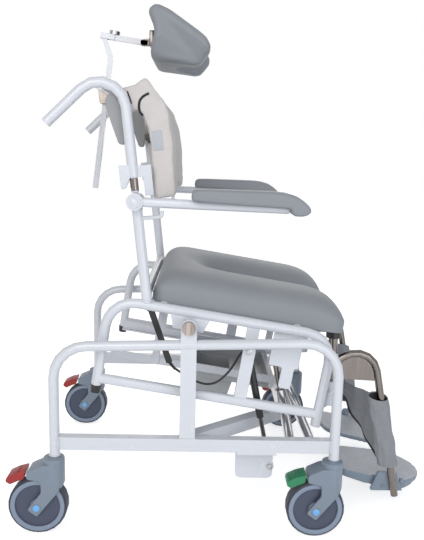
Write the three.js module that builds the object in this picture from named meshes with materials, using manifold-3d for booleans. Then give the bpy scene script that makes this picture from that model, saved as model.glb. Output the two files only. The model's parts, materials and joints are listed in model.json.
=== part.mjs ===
// Tilting shower and commode wheelchair with four braked casters, in millimetres.
// +X is the way the chair faces, +Y is the sitter's left and +Z is up.
import * as THREE from "three";
import { mergeVertices } from "three/addons/utils/BufferGeometryUtils.js";
import Module from "manifold-3d";

const wasm = await Module();
wasm.setup();

// Overall layout. Rearward and sideways places are measured from the middle of the wheelbase.
const wheelbase = 594;
const track = 580;
const tubeDiameter = 22;
const runningGap = 0.5;
const seatingGap = 0.3;
const overrun = 2;
const tubeSides = 12;
const smallSides = 8;
const wheelSides = 22;
const housingSides = 14;
const bendSteps = 5;
const edgeSteps = 2;
const braceSteps = 3;

// Height of the tilt pin and the heights that follow it.
const pivotHeight = 458.5;
const hoopRearDrop = 47.5;
const hoopFrontDrop = 29.5;
const lowerTubeHeight = 301.5;
const hangerDrop = 196.5;
const springHeadDrop = 63.5;
const rearSupportHeadDrop = 85.5;
const frontSupportHeadDrop = 136.5;

// Sideways places that follow the track: distances inwards from the middle of a base side.
const seatInset = 45;
const springInset = 70;
const springPlateInset = 51;
const rearSupportInset = 83;
const frontSupportInset = 107;
const shelfInset = 101;
const hangerInset = 90;

// Sideways places that follow the seat tubes.
const padInset = 12;
const cheekInset = 19;
const leverInset = 23;
const coverInset = 29;
const armOutset = 25;
const seatHalfWidth = track / 2 - seatInset;

// Base side frames: one bent hoop, a lower rail and a middle upright with an ear for the tilt pin.
const hoopRearHeight = pivotHeight - hoopRearDrop;
const hoopFrontHeight = pivotHeight - hoopFrontDrop;
const hoopBend = 70;
const postFootHeight = 170;
const railHeight = 203;
const railDepth = 28;
const railWidth = 20;
const uprightX = -17;
const uprightWidth = 33;
const uprightThickness = 18;

// Cross brace of the base.
const braceWidth = 28;
const braceFootX = -26;
const braceNoseX = 215;
const braceNoseHalf = 95;
const braceBend = 42;

// Plate under the right rail that carries the lower end of the gas spring.
const springPlateX = 131;
const springPlateLength = 83;
const springPlateThickness = 6;
const springPlateDrop = 87;
const springPlateY = track / 2 - springPlateInset;
const springPlateCorner = 14;

// Sloping shelf inside the right rail that carries the two support cylinders.
const shelfX = 237;
const shelfLength = 84;
const shelfThickness = 7;
const shelfOuterHeight = 197;
const shelfInnerHeight = 158;
const shelfInnerY = track / 2 - shelfInset;
const shelfLugThickness = 6;
const shelfLugWidth = 18;

// Casters.
const wheelDiameter = 125;
const wheelWidth = 30;
const tyreThickness = 6;
const rimRing = 7;
const discRecess = 4;
const casterTrail = 36;
const stemDiameter = 10;
const stemLength = 34;
const housingDiameter = 50;
const housingBottom = 118;
const housingShoulder = 162;
const housingChamfer = 7;
const forkPlate = 6;
const forkLegWidth = 27;
const forkFootRadius = 13;
const fenderLength = 61;
const fenderRearHeight = 151;
const fenderWidth = 47;
const wheelClearance = 3;
const axleDiameter = 12;
const axleCapDiameter = 17.5;
const axleCapHeight = 2.2;
const pedalLength = 42;
const pedalWidth = 40;
const pedalDrop = 36;
const pedalThickness = 15;
const pedalLip = 8;

// Tilting seat frame, in its own axes: X along the seat, Z square to it, zero at the tilt pin.
const seatDropDegrees = 8.9;
const seatTubeHeight = 19.3;
const seatRearLeg = 174;
const seatFrontLeg = 311;
const seatBend = 60;
const lowerTubeDepth = pivotHeight - lowerTubeHeight;
const rearLegReach = 15;
const frontLegReach = 27;
const rearLegFoot = lowerTubeDepth + rearLegReach;
const frontLegFoot = lowerTubeDepth + frontLegReach;
const plugLength = 17;
const plugDiameter = 25;
const strutX = 137;
const strutWidth = 27;
const strutThickness = 10;
const pivotPlateTop = 90;
const pivotPlateBottom = 65;
const pivotPlateDrop = 19;
const pivotPlateThickness = 12;
const pivotBossDiameter = 26;
const tiltPinDiameter = 14;
const tiltCapDiameter = 28;
const tiltCapHeight = 11;

// Cross members, pan rails and their hangers.
const rearCrossX = -60;
const frontCrossX = 230;
const panRailHalf = 122;
const panRailLift = 11;
const panRailHeight = panRailLift - lowerTubeDepth;
const panRailRear = -165;
const panRailFront = 245;
const panRailWeb = 3;
const panRailLedge = 16;
const panRailWall = 18;
const panHangerWidth = 18;

// Plate that hangs from the right end of the front cross member and faces the support cylinders.
const cheekY = seatHalfWidth - cheekInset;
const cheekThickness = 7;
const cheekRear = 186;
const cheekFront = 252;
const cheekDrop = 70;
const cheekBarWidth = 27;
const cheekBarDrop = 118;

// Removable pan.
const panLength = 215;
const panRear = 12;
const panHalfWidth = 117;
const panDepth = 24;
const panWall = 3;
const bucketLength = 108;
const bucketHalfWidth = 90;
const bucketDepth = 62;
const bucketTaper = 9;
const panFlange = 11;

// Seat pad.
const padRear = -88;
const padLength = 414;
const padHalfWidth = seatHalfWidth - padInset;
const padThickness = 63;
const padSeating = 6;
const padCrown = 9;
const padApertureHalf = 42;
const padApertureRear = 38;
const padThighOverlap = 30;
const padRoundness = 5;
const thighCells = [8, 6, 2];
const rearRestCells = [4, 6, 2];

// Gas spring, support cylinders and their joints. Places are in the base's axes at rest.
const springLowerX = 166;
const springLowerZ = 130;
const springUpperX = 110;
const springUpperZ = pivotHeight - springHeadDrop;
const springY = track / 2 - springInset;
const springBodyDiameter = 16;
const springRodDiameter = 10;
const springBodyShare = 0.6;
const rearStrutLowerX = 213;
const rearStrutLowerZ = 178;
const rearStrutUpperX = 170;
const rearStrutUpperZ = pivotHeight - rearSupportHeadDrop;
const frontStrutLowerX = 262;
const frontStrutLowerZ = 172;
const frontStrutUpperX = 194;
const frontStrutUpperZ = pivotHeight - frontSupportHeadDrop;
const rearSupportY = track / 2 - rearSupportInset;
const frontSupportY = track / 2 - frontSupportInset;
const supportDiameter = 22;
const supportRodDiameter = 12;
const rearSupportShare = 0.61;
const frontSupportShare = 0.84;
const eyeDiameter = 18;
const eyeWidth = 12;
const eyePinDiameter = 8;

// Release lever and its cable.
const leverTopX = -88;
const leverTopZ = 10;
const leverFootX = -27;
const leverFootZ = -104;
const leverY = seatHalfWidth - leverInset;
const leverWidth = 13;
const leverThickness = 6;
const leverBushDiameter = 20;
const cableDiameter = 5;
const cableSteps = 26;
const cableSides = 6;

// Back frame, in axes that run up the back posts from where they meet the seat tube.
const backFootX = -93.5;
const backLeanDegrees = 15.3;
const hubHeight = 220;
const hubDiameter = 35;
const backCrossHeight = 24;
const backCrossDiameter = 20;
const stopRodDiameter = 8;
const stopRodHeight = 184;
const stopRodReach = 52;
const stopRodRise = 12;
const stopRodBend = 9;

// Push handles with the bar that joins them.
const handleFootHeight = 268;
const handleCornerHeight = 516;
const gripEndX = -163;
const gripEndHeight = 392;
const handleBend = 53;
const spigotDiameter = 16;
const crossBarRiseDegrees = 85;
const crossBarInset = 5;
const slingPlateReach = 38;
const slingPlateInset = 20;
const slingPlateTop = 291;
const slingPlateBottom = 229;
const slingPlateThickness = 5;
const latchWidth = 16;
const latchReach = 27;
const latchTop = 294;
const latchBottom = 246;
const latchThickness = 18;

// Padded back cover.
const coverHalfWidth = seatHalfWidth - coverInset;
const coverRear = 33;
const coverThickness = 48;
const coverBottom = 214;
const coverTop = 430;
const coverBow = 16;
const coverRoundness = 5;
const coverCells = [6, 10, 2];
const wingRear = -36;
const wingFront = 78;
const wingTop = 465;
const wingFoot = 332;
const wingThickness = 32;
const rearBandThickness = 5;
const rearBandTop = 418;
const coverTabBottom = 236;
const coverTabTop = 284;
const coverTabX = 32;
const coverTabThickness = 4;

// Headrest.
const clampLength = 50;
const clampHeight = 36;
const clampWidth = 40;
const stemBar = 12;
const stemBendSteps = 2;
const stemLeanDegrees = 13.6;
const stemBehindBar = 20.6;
const stemFootHeight = 245;
const stemElbowRise = 85;
const stemTopRise = 50;
const stemTopSetBack = 10;
const armBarHeight = 12;
const armBarWidth = 12;
const armBarEnd = 103;
const armBarSlopeDegrees = 8;
const armForkWall = 3;
const armForkRear = 8;
const armForkRoot = 14;
const headKnobDiameter = 24;
const headKnobHeight = 8;
const headKnobOffset = 24;
const headPadX = 125;
const headBracketThickness = 6;
const headBracketTop = 12;
const headBracketBottom = 48;
const headBracketWidth = 60;
const headBracketFace = 14;
const headBossWidth = 34;
const headBossTop = 4;
const headBossBottom = 26;
const headBossFace = 5;
const headEarThickness = 4;
const headPadHalfWidth = 140;
const headPadRound = 12;
const headPadRear = -13;
const headPadDepth = 136;
const headPadBottom = -88;
const headPadHeight = 137;
const headHollowDepth = 96;
const headHollowHalf = 96;

// Armrests, in axes along the arm tube from the hub.
const armSlopeDegrees = 1.5;
const armY = seatHalfWidth + armOutset;
const armTubeDiameter = 20;
const armHubWidth = 24;
const armHubCap = 24;
const armHubCapHeight = 2;
const armTubeEnd = 312;
const armPadRear = 115;
const armPadFront = 354;
const armPadBottom = 2;
const armPadTop = 29;
const armPadNose = 16;
const armPadNoseLength = 34;
const armPadWidth = 50;
const armPadOffset = 13;
const armPadRound = 5;

// Swing-away leg hangers, in upright axes from the foot of the receiver tube.
const hangerX = 301;
const hangerHeight = pivotHeight - hangerDrop;
const hangerY = track / 2 - hangerInset;
const archFloorGap = 42;
const footHingeFloorGap = 75;
const receiverDiameter = 28;
const receiverLength = 56;
const hangerCollar = 3;
const receiverStubHeight = 34;
const receiverStubThickness = 12;
const hangerPostDiameter = 21;
const hangerPostFoot = 6;
const hangerPostTop = 155;
const hangerCapDiameter = 33;
const hangerCapHeight = 16;
const archDiameter = 17;
const archStartHeight = 92;
const archCornerX = 86;
const archCornerHeight = 158;
const archEndX = 162;
const archEndHeight = archFloorGap - hangerHeight;
const archBend = 50;
const gussetThickness = 2.5;

// Footplates, in axes along the plate from the hinge beside the hanger tube.
const footHingeHeight = footHingeFloorGap - hangerHeight;
const footDropDegrees = 10;
const footHingeInset = 12.5;
const footKnuckleDiameter = 7;
const footLugDiameter = 10;
const footLugLength = 6;
const footKnuckleLength = 40;
const footPlateThickness = 13;
const footPlateRear = -117;
const footPlateFront = 82;
const footMiddleGap = 27.5;
const footPlateInner = hangerY - footHingeInset - footMiddleGap;
const footPlateOuter = 6;
const footBracketLength = 52;
const footBracketHeight = 40;
const footBracketWall = 4;
const footPlateBevel = 2;
const footStraightShare = 0.6;
const footNoseShare = 0.87;
const footCornerShare = 0.1;
const footTipShare = 0.6;
const footRearShare = 0.9;
const footRibs = 9;
const footRibShare = 0.5;
const footRibLength = 120;
const footRibX = -25;
const footRibHeight = 1.5;

// Calf strap.
const sleeveWidthTop = 51;
const sleeveWidthBottom = 43;
const sleeveDepth = 25;
const sleeveWall = 3;
const sleeveTop = 33;
const sleeveBottom = -145;
const strapThickness = 4;
const strapMargin = 4;
const strapSagBack = 78;
const strapDropTop = 38;
const strapDropBottom = 14;
const strapSteps = 12;

// Finishes.
const paint = new THREE.MeshStandardMaterial({ color: 0xe1e6f0, roughness: 0.35, metalness: 0 });
const stainless = new THREE.MeshStandardMaterial({ color: 0xa89f98, roughness: 0.25, metalness: 1 });
const aluminium = new THREE.MeshStandardMaterial({ color: 0xc9c6c6, roughness: 0.3, metalness: 1 });
const casterGrey = new THREE.MeshStandardMaterial({ color: 0x8a96a5, roughness: 0.5, metalness: 0 });
const discGrey = new THREE.MeshStandardMaterial({ color: 0x3c4155, roughness: 0.45, metalness: 0 });
const tyreGrey = new THREE.MeshStandardMaterial({ color: 0x373c4b, roughness: 0.8, metalness: 0 });
const redPedal = new THREE.MeshStandardMaterial({ color: 0xa51914, roughness: 0.4, metalness: 0 });
const greenPedal = new THREE.MeshStandardMaterial({ color: 0x1e7d4b, roughness: 0.4, metalness: 0 });
const padGrey = new THREE.MeshStandardMaterial({ color: 0x84898f, roughness: 0.6, metalness: 0 });
const blackPlastic = new THREE.MeshStandardMaterial({ color: 0x151515, roughness: 0.5, metalness: 0 });
const coverCloth = new THREE.MeshStandardMaterial({ color: 0xd8d5d0, roughness: 0.9, metalness: 0 });
const strapCloth = new THREE.MeshStandardMaterial({ color: 0x7d828a, roughness: 0.85, metalness: 0 });
const plateGrey = new THREE.MeshStandardMaterial({ color: 0xa8adb6, roughness: 0.6, metalness: 0 });
const panGrey = new THREE.MeshStandardMaterial({ color: 0xa4a7ab, roughness: 0.5, metalness: 0 });

const degrees = THREE.MathUtils.degToRad;
const right = -1;
const left = 1;

// The handle's bend, and the bar that joins the handles a little inside it.
const handleTurn = Math.PI / 2 + Math.atan2(handleCornerHeight - gripEndHeight, -gripEndX);
const handleBendHeight = handleCornerHeight - handleBend * Math.tan(handleTurn / 2);
const crossBarReach = handleBend - crossBarInset;
const crossBarX = crossBarReach * Math.cos(degrees(crossBarRiseDegrees)) - handleBend;
const crossBarHeight = handleBendHeight + crossBarReach * Math.sin(degrees(crossBarRiseDegrees));

// The headrest's stem leans and passes close behind that bar.
const stemFootX = stemAt(stemFootHeight);
const stemElbowHeight = crossBarHeight + stemElbowRise;
const stemElbowX = stemAt(stemElbowHeight);
const stemTopX = stemElbowX - stemTopSetBack;
const stemTopHeight = stemElbowHeight + stemTopRise;

// The hinge at the front end of the headrest's arm, from the top of the stem.
const armEnd = point(armBarEnd - armBarHeight, 0, 0).applyAxisAngle(
  point(0, 1, 0),
  degrees(armBarSlopeDegrees),
);

// The head of the gas spring in the seat's own axes.
const springHead = point(springUpperX - uprightX, 0, springUpperZ - pivotHeight).applyAxisAngle(
  point(0, 1, 0),
  -degrees(seatDropDegrees),
);

// A closed mesh as a solid that can be joined and cut.
function solid(geometry) {
  const bare = geometry.clone();
  for (const name of Object.keys(bare.attributes)) {
    if (name !== "position") {
      bare.deleteAttribute(name);
    }
  }
  const merged = mergeVertices(bare, 1e-4);
  return new wasm.Manifold(
    new wasm.Mesh({
      numProp: 3,
      vertProperties: new Float32Array(merged.attributes.position.array),
      triVerts: new Uint32Array(merged.index.array),
    }),
  );
}

function joined(geometries) {
  return geometries.map(solid).reduce((whole, next) => whole.add(next));
}

function cut(body, geometries) {
  return geometries.map(solid).reduce((whole, next) => whole.subtract(next), body);
}

// The named mesh of one piece, from a geometry or from a joined and cut solid.
function piece(name, shape, material) {
  const body = shape.isBufferGeometry ? solid(shape) : shape;
  const cleaned = body.getMesh();
  const geometry = new THREE.BufferGeometry();
  geometry.setAttribute("position", new THREE.BufferAttribute(cleaned.vertProperties, cleaned.numProp));
  geometry.setIndex(new THREE.BufferAttribute(cleaned.triVerts, 1));
  geometry.computeVertexNormals();
  const mesh = new THREE.Mesh(geometry, material);
  mesh.name = name;
  return mesh;
}

// Straight runs joined by round bends. Its points stand only at the ends of runs and round the bends.
class BentLine extends THREE.Curve {
  constructor(corners, bend, steps = bendSteps) {
    super();
    this.places = [corners[0]];
    this.ways = [corners[1].clone().sub(corners[0]).normalize()];
    for (let i = 1; i < corners.length - 1; i++) {
      const before = corners[i].clone().sub(corners[i - 1]).normalize();
      const after = corners[i + 1].clone().sub(corners[i]).normalize();
      const turn = before.angleTo(after);
      const reach = bend * Math.tan(turn / 2);
      const inward = after.clone().sub(before).normalize();
      const centre = corners[i].clone().addScaledVector(inward, bend / Math.cos(turn / 2));
      const start = corners[i].clone().addScaledVector(before, -reach).sub(centre);
      const axis = before.clone().cross(after).normalize();
      for (let k = 0; k <= steps; k++) {
        const angle = (turn * k) / steps;
        this.places.push(start.clone().applyAxisAngle(axis, angle).add(centre));
        this.ways.push(before.clone().applyAxisAngle(axis, angle));
      }
    }
    this.places.push(corners.at(-1));
    this.ways.push(corners.at(-1).clone().sub(corners.at(-2)).normalize());
  }
  getPointAt(share, target = new THREE.Vector3()) {
    return target.copy(this.places[Math.round(share * (this.places.length - 1))]);
  }
  getTangentAt(share, target = new THREE.Vector3()) {
    return target.copy(this.ways[Math.round(share * (this.ways.length - 1))]);
  }
}

function roundSection(diameter) {
  return new THREE.Shape().absarc(0, 0, diameter / 2, 0, 2 * Math.PI);
}

function boxSection(width, depth) {
  return new THREE.Shape([
    new THREE.Vector2(-width / 2, -depth / 2),
    new THREE.Vector2(width / 2, -depth / 2),
    new THREE.Vector2(width / 2, depth / 2),
    new THREE.Vector2(-width / 2, depth / 2),
  ]);
}

function sweep(section, path, sides = tubeSides) {
  const steps = path.places.length - 1;
  return new THREE.ExtrudeGeometry(section, { steps, extrudePath: path, curveSegments: sides / 2 });
}

function point(x, y, z) {
  return new THREE.Vector3(x, y, z);
}

function bentTube(corners, bend, diameter, sides = tubeSides) {
  return sweep(roundSection(diameter), new BentLine(corners, bend), sides);
}

function straightTube(from, to, diameter, sides = tubeSides) {
  return sweep(roundSection(diameter), new BentLine([from, to], 0), sides);
}

// A flat plate: its outline lies in the XZ plane, its thickness is centred on y.
function plate(outline, y, thickness, roundEdge = 0) {
  const geometry = new THREE.ExtrudeGeometry(outline, {
    depth: thickness - 2 * roundEdge,
    curveSegments: bendSteps,
    bevelEnabled: roundEdge > 0,
    bevelSize: roundEdge,
    bevelThickness: roundEdge,
    bevelOffset: -roundEdge,
    bevelSegments: edgeSteps,
  });
  geometry.rotateX(Math.PI / 2);
  geometry.translate(0, y + thickness / 2 - roundEdge, 0);
  return geometry;
}

// An outline from corner points, with each corner rounded.
function roundedOutline(corners, radius) {
  const shape = new THREE.Shape();
  const count = corners.length;
  for (let i = 0; i < count; i++) {
    const here = new THREE.Vector2(...corners[i]);
    const last = new THREE.Vector2(...corners[(i + count - 1) % count]);
    const next = new THREE.Vector2(...corners[(i + 1) % count]);
    const reach = Math.min(radius, here.distanceTo(last) / 2, here.distanceTo(next) / 2);
    const start = here.clone().add(last.sub(here).setLength(reach));
    const end = here.clone().add(next.sub(here).setLength(reach));
    if (i === 0) {
      shape.moveTo(start.x, start.y);
    } else {
      shape.lineTo(start.x, start.y);
    }
    shape.quadraticCurveTo(here.x, here.y, end.x, end.y);
  }
  shape.closePath();
  return shape;
}

function outlineOf(corners) {
  return new THREE.Shape(corners.map(([x, z]) => new THREE.Vector2(x, z)));
}

function box(width, depth, height, x, y, z) {
  return new THREE.BoxGeometry(width, depth, height).translate(x, y, z);
}

// A round bar along Y.
function crossDisc(diameter, length, x, y, z, sides = tubeSides) {
  return new THREE.CylinderGeometry(diameter / 2, diameter / 2, length, sides).translate(x, y, z);
}

function frame(x, y, z, dropDegrees) {
  const group = new THREE.Group();
  group.position.set(x, y, z);
  group.rotation.y = degrees(dropDegrees);
  return group;
}

function sideName(side) {
  return side === right ? "right" : "left";
}

// One side of the base: hoop, lower rail and upright welded together.
function baseSide(side) {
  const y = (side * track) / 2;
  const half = wheelbase / 2;
  const hoop = bentTube(
    [
      point(-half, y, postFootHeight),
      point(-half, y, hoopRearHeight),
      point(half, y, hoopFrontHeight),
      point(half, y, postFootHeight),
    ],
    hoopBend,
    tubeDiameter,
  );
  const rail = box(wheelbase, railWidth, railDepth, 0, y, railHeight);
  const ear = new THREE.Shape();
  ear.moveTo(uprightX - uprightWidth / 2, railHeight);
  ear.lineTo(uprightX + uprightWidth / 2, railHeight);
  ear.lineTo(uprightX + uprightWidth / 2, pivotHeight);
  ear.absarc(uprightX, pivotHeight, uprightWidth / 2, 0, Math.PI);
  const welded = [hoop, rail, plate(ear, y, uprightThickness)];
  const holes = [
    crossDisc(tiltPinDiameter + 2 * seatingGap, uprightThickness + overrun, uprightX, y, pivotHeight),
    ...[-half, half].map((x) =>
      new THREE.CylinderGeometry(
        stemDiameter / 2 + runningGap,
        stemDiameter / 2 + runningGap,
        stemLength + overrun,
        smallSides,
      )
        .rotateX(Math.PI / 2)
        .translate(x, y, postFootHeight + stemLength / 2),
    ),
  ];
  if (side === right) {
    welded.push(...springPlate(y), ...supportShelf(y));
    holes.push(...lowerPinHoles());
  }
  return piece("base_side_" + sideName(side), cut(joined(welded), holes), paint);
}

function springPlate(railY) {
  const top = railHeight - railDepth / 2;
  const web = roundedOutline(
    [
      [springPlateX - springPlateLength / 2, top],
      [springPlateX - springPlateLength / 2, top - springPlateDrop],
      [springPlateX + springPlateLength / 2, top - springPlateDrop],
      [springPlateX + springPlateLength / 2, top],
    ],
    springPlateCorner,
  );
  const inner = -springPlateY + springPlateThickness / 2;
  const outer = railY - railWidth / 2;
  return [
    plate(web, -springPlateY, springPlateThickness),
    box(
      springPlateLength,
      inner - outer,
      springPlateThickness,
      springPlateX,
      (inner + outer) / 2,
      top - springPlateThickness / 2 + seatingGap,
    ),
  ];
}

// The lugs of the two support cylinders stand beside them, between one cylinder and the other.
const rearLugY = rearSupportY - supportDiameter / 2 - runningGap - shelfLugThickness / 2;
const frontLugY = frontSupportY + supportDiameter / 2 + runningGap + shelfLugThickness / 2;

// A sloping shelf with a lug for the lower pin of each support cylinder.
function supportShelf(railY) {
  const outerY = railY + railWidth / 2 - seatingGap;
  const slope = new THREE.Shape([
    new THREE.Vector2(outerY, shelfOuterHeight),
    new THREE.Vector2(outerY, shelfOuterHeight - shelfThickness),
    new THREE.Vector2(-shelfInnerY, shelfInnerHeight - shelfThickness),
    new THREE.Vector2(-shelfInnerY, shelfInnerHeight),
  ]);
  const shelf = new THREE.ExtrudeGeometry(slope, { depth: shelfLength, bevelEnabled: false });
  shelf.applyMatrix4(new THREE.Matrix4().set(0, 0, 1, shelfX - shelfLength / 2, 1, 0, 0, 0, 0, 1, 0, 0, 0, 0, 0, 1));
  const lugFoot = shelfInnerHeight - shelfThickness;
  const lugs = [
    [rearStrutLowerX, rearStrutLowerZ, rearLugY],
    [frontStrutLowerX, frontStrutLowerZ, frontLugY],
  ].map(([x, z, y]) => {
    const lug = new THREE.Shape();
    lug.moveTo(x + shelfLugWidth / 2, lugFoot);
    lug.lineTo(x + shelfLugWidth / 2, z);
    lug.absarc(x, z, shelfLugWidth / 2, 0, Math.PI);
    lug.lineTo(x - shelfLugWidth / 2, lugFoot);
    return plate(lug, -y, shelfLugThickness);
  });
  return [shelf, ...lugs];
}

function lowerPinHoles() {
  return [
    crossDisc(
      eyePinDiameter + 2 * seatingGap,
      springPlateThickness + overrun,
      springLowerX,
      -springPlateY,
      springLowerZ,
      smallSides,
    ),
  ];
}

function crossBrace() {
  const railInner = track / 2 - railWidth / 2 - seatingGap;
  const path = new BentLine(
    [
      point(braceFootX, -railInner, railHeight),
      point(braceNoseX, -braceNoseHalf, railHeight),
      point(braceNoseX, braceNoseHalf, railHeight),
      point(braceFootX, railInner, railHeight),
    ],
    braceBend,
    braceSteps,
  );
  const beam = sweep(boxSection(braceWidth, railDepth), path);
  const ends = [-1, 1].map((side) =>
    box(track, track, railDepth + 2 * overrun, 0, side * (railInner + track / 2), railHeight),
  );
  return piece("base_cross_brace", cut(solid(beam), ends), paint);
}

// One caster: swivelling fork with stem, axle and fender, tyred wheel and brake pedal.
function caster(name, pedalPaint) {
  const group = new THREE.Group();
  const axleX = -casterTrail;
  const axleZ = wheelDiameter / 2;
  const inner = wheelWidth / 2 + wheelClearance;
  const legY = inner + forkPlate / 2;
  const top = postFootHeight - seatingGap;
  const profile = [
    [0, housingBottom],
    [housingDiameter / 2, housingBottom],
    [housingDiameter / 2, housingShoulder],
    [housingDiameter / 2 - housingChamfer, top],
    [stemDiameter / 2, top],
    [stemDiameter / 2, top + stemLength],
    [0, top + stemLength],
  ].map(([radius, height]) => new THREE.Vector2(radius, height));
  const housing = new THREE.LatheGeometry(profile, housingSides).rotateX(Math.PI / 2);
  const fenderTop = new THREE.Shape();
  fenderTop.moveTo(0, housingBottom);
  fenderTop.lineTo(0, housingShoulder);
  fenderTop.quadraticCurveTo(-fenderLength / 2, housingShoulder, -fenderLength, fenderRearHeight);
  fenderTop.lineTo(-fenderLength - forkPlate, housingBottom + forkPlate);
  fenderTop.lineTo(-fenderLength, housingBottom);
  const leg = new THREE.Shape();
  leg.moveTo(forkLegWidth / 2, housingShoulder - housingChamfer);
  leg.lineTo(axleX - forkLegWidth / 2, housingShoulder - housingChamfer);
  leg.lineTo(axleX - forkFootRadius, axleZ);
  leg.absarc(axleX, axleZ, forkFootRadius, Math.PI, 2 * Math.PI);
  leg.lineTo(forkLegWidth / 2 + forkPlate, housingBottom);
  const solids = [housing, plate(fenderTop, 0, fenderWidth)];
  for (const side of [right, left]) {
    solids.push(plate(leg, side * legY, forkPlate));
    solids.push(
      crossDisc(axleCapDiameter, axleCapHeight, axleX, side * (inner + forkPlate + axleCapHeight / 2), axleZ),
    );
  }
  const well = crossDisc(wheelDiameter + 2 * wheelClearance, 2 * inner, axleX, 0, axleZ, wheelSides);
  const axle = crossDisc(axleDiameter, 2 * (inner + forkPlate), axleX, 0, axleZ);
  const fork = cut(joined(solids), [well]).add(solid(axle));
  group.add(piece(name + "_fork", fork, casterGrey));

  const tread = wheelDiameter / 2;
  const rim = tread - tyreThickness;
  const half = wheelWidth / 2;
  const tyreProfile = [
    [rim, -half],
    [tread - tyreThickness / 2, -half],
    [tread, -half + tyreThickness / 2],
    [tread, half - tyreThickness / 2],
    [tread - tyreThickness / 2, half],
    [rim, half],
    [rim, -half],
  ].map(([radius, y]) => new THREE.Vector2(radius, y));
  const coreProfile = [
    [axleDiameter / 2 + runningGap, -half],
    [axleDiameter, -half],
    [axleDiameter + discRecess, -half + discRecess],
    [rim - rimRing, -half + discRecess],
    [rim - rimRing, -half],
    [rim - seatingGap, -half],
    [rim - seatingGap, half],
    [rim - rimRing, half],
    [rim - rimRing, half - discRecess],
    [axleDiameter + discRecess, half - discRecess],
    [axleDiameter, half],
    [axleDiameter / 2 + runningGap, half],
    [axleDiameter / 2 + runningGap, -half],
  ].map(([radius, y]) => new THREE.Vector2(radius, y));
  const tyre = new THREE.LatheGeometry(tyreProfile, wheelSides).translate(axleX, 0, axleZ);
  const core = new THREE.LatheGeometry(coreProfile, wheelSides).translate(axleX, 0, axleZ);
  group.add(piece(name + "_tyre", tyre, tyreGrey));
  group.add(piece(name + "_wheel", core, discGrey));

  const lean = forkPlate / (fenderRearHeight - housingBottom - forkPlate);
  const hingeX = -fenderLength - seatingGap - lean * pedalThickness;
  const tip = hingeX - pedalLength;
  const tipHeight = fenderRearHeight - pedalDrop;
  const pedal = new THREE.Shape();
  pedal.moveTo(-fenderLength - seatingGap, fenderRearHeight);
  pedal.quadraticCurveTo(hingeX - pedalLength / 2, fenderRearHeight, tip, tipHeight);
  pedal.lineTo(tip + pedalLip, tipHeight - pedalLip / 2);
  pedal.quadraticCurveTo(
    hingeX - pedalLength / 2,
    fenderRearHeight - pedalThickness,
    hingeX,
    fenderRearHeight - pedalThickness,
  );
  group.add(piece(name + "_pedal", plate(pedal, 0, pedalWidth), pedalPaint));
  return group;
}

// One side of the tilting seat frame, welded: bent hoop, lower tube, flat strut, pivot plate,
// boss and the receiver that holds a leg hanger.
function seatSide(side) {
  const y = side * seatHalfWidth;
  const hoop = bentTube(
    [
      point(-seatRearLeg, y, -rearLegFoot),
      point(-seatRearLeg, y, seatTubeHeight),
      point(seatFrontLeg, y, seatTubeHeight),
      point(seatFrontLeg, y, -frontLegFoot),
    ],
    seatBend,
    tubeDiameter,
  );
  const lower = straightTube(
    point(-seatRearLeg, y, -lowerTubeDepth),
    point(seatFrontLeg, y, -lowerTubeDepth),
    tubeDiameter,
  );
  const strutHeight = seatTubeHeight + lowerTubeDepth;
  const strut = box(strutWidth, strutThickness, strutHeight, strutX, y, seatTubeHeight - strutHeight / 2);
  const pivotPlate = plate(
    outlineOf([
      [-pivotPlateTop / 2, seatTubeHeight],
      [-pivotPlateBottom / 2, -pivotPlateDrop],
      [pivotPlateBottom / 2, -pivotPlateDrop],
      [pivotPlateTop / 2, seatTubeHeight],
    ]),
    y,
    pivotPlateThickness,
  );
  const earInner = track / 2 - uprightThickness / 2;
  const bossLength = earInner - runningGap - seatHalfWidth;
  const boss = crossDisc(pivotBossDiameter, bossLength, 0, side * (seatHalfWidth + bossLength / 2), 0);
  const receiverAxes = new THREE.Matrix4()
    .makeRotationY(degrees(seatDropDegrees))
    .invert()
    .multiply(new THREE.Matrix4().makeTranslation(hangerX - uprightX, side * hangerY, hangerHeight - pivotHeight));
  const receiver = new THREE.CylinderGeometry(
    receiverDiameter / 2,
    receiverDiameter / 2,
    receiverLength,
    tubeSides,
  )
    .rotateX(Math.PI / 2)
    .translate(0, 0, receiverLength / 2);
  const bore = new THREE.CylinderGeometry(
    hangerPostDiameter / 2 + runningGap,
    hangerPostDiameter / 2 + runningGap,
    receiverLength + 2 * overrun,
    tubeSides,
  )
    .rotateX(Math.PI / 2)
    .translate(0, 0, receiverLength / 2);
  receiver.applyMatrix4(receiverAxes);
  bore.applyMatrix4(receiverAxes);
  const receiverFoot = point(0, 0, receiverLength / 3).applyMatrix4(receiverAxes);
  const stubFrom = point(seatFrontLeg, y, receiverFoot.z);
  const stub = sweep(
    boxSection(receiverStubHeight, receiverStubThickness),
    new BentLine([stubFrom, receiverFoot], 0),
  );
  const welded = joined([hoop, lower, strut, pivotPlate, boss, receiver, stub]);
  const pinBore = crossDisc(
    tiltPinDiameter + 2 * seatingGap,
    2 * (bossLength + pivotPlateThickness),
    0,
    side * seatHalfWidth,
    0,
  );
  return piece("seat_side_" + sideName(side), cut(welded, [pinBore, bore]), paint);
}

// The pin that the seat tilts on, with a round polished cap on the outside of the base's ear.
function tiltPin(side) {
  const inner = seatHalfWidth - pivotPlateThickness / 2;
  const capFace = track / 2 + uprightThickness / 2 + seatingGap;
  const shaft = crossDisc(tiltPinDiameter, capFace - inner, 0, (side * (capFace + inner)) / 2, 0);
  const cap = crossDisc(
    tiltCapDiameter,
    tiltCapHeight,
    0,
    side * (capFace + tiltCapHeight / 2),
    0,
    2 * tubeSides,
  );
  return piece("tilt_pin_" + sideName(side), joined([shaft, cap]), stainless);
}

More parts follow.
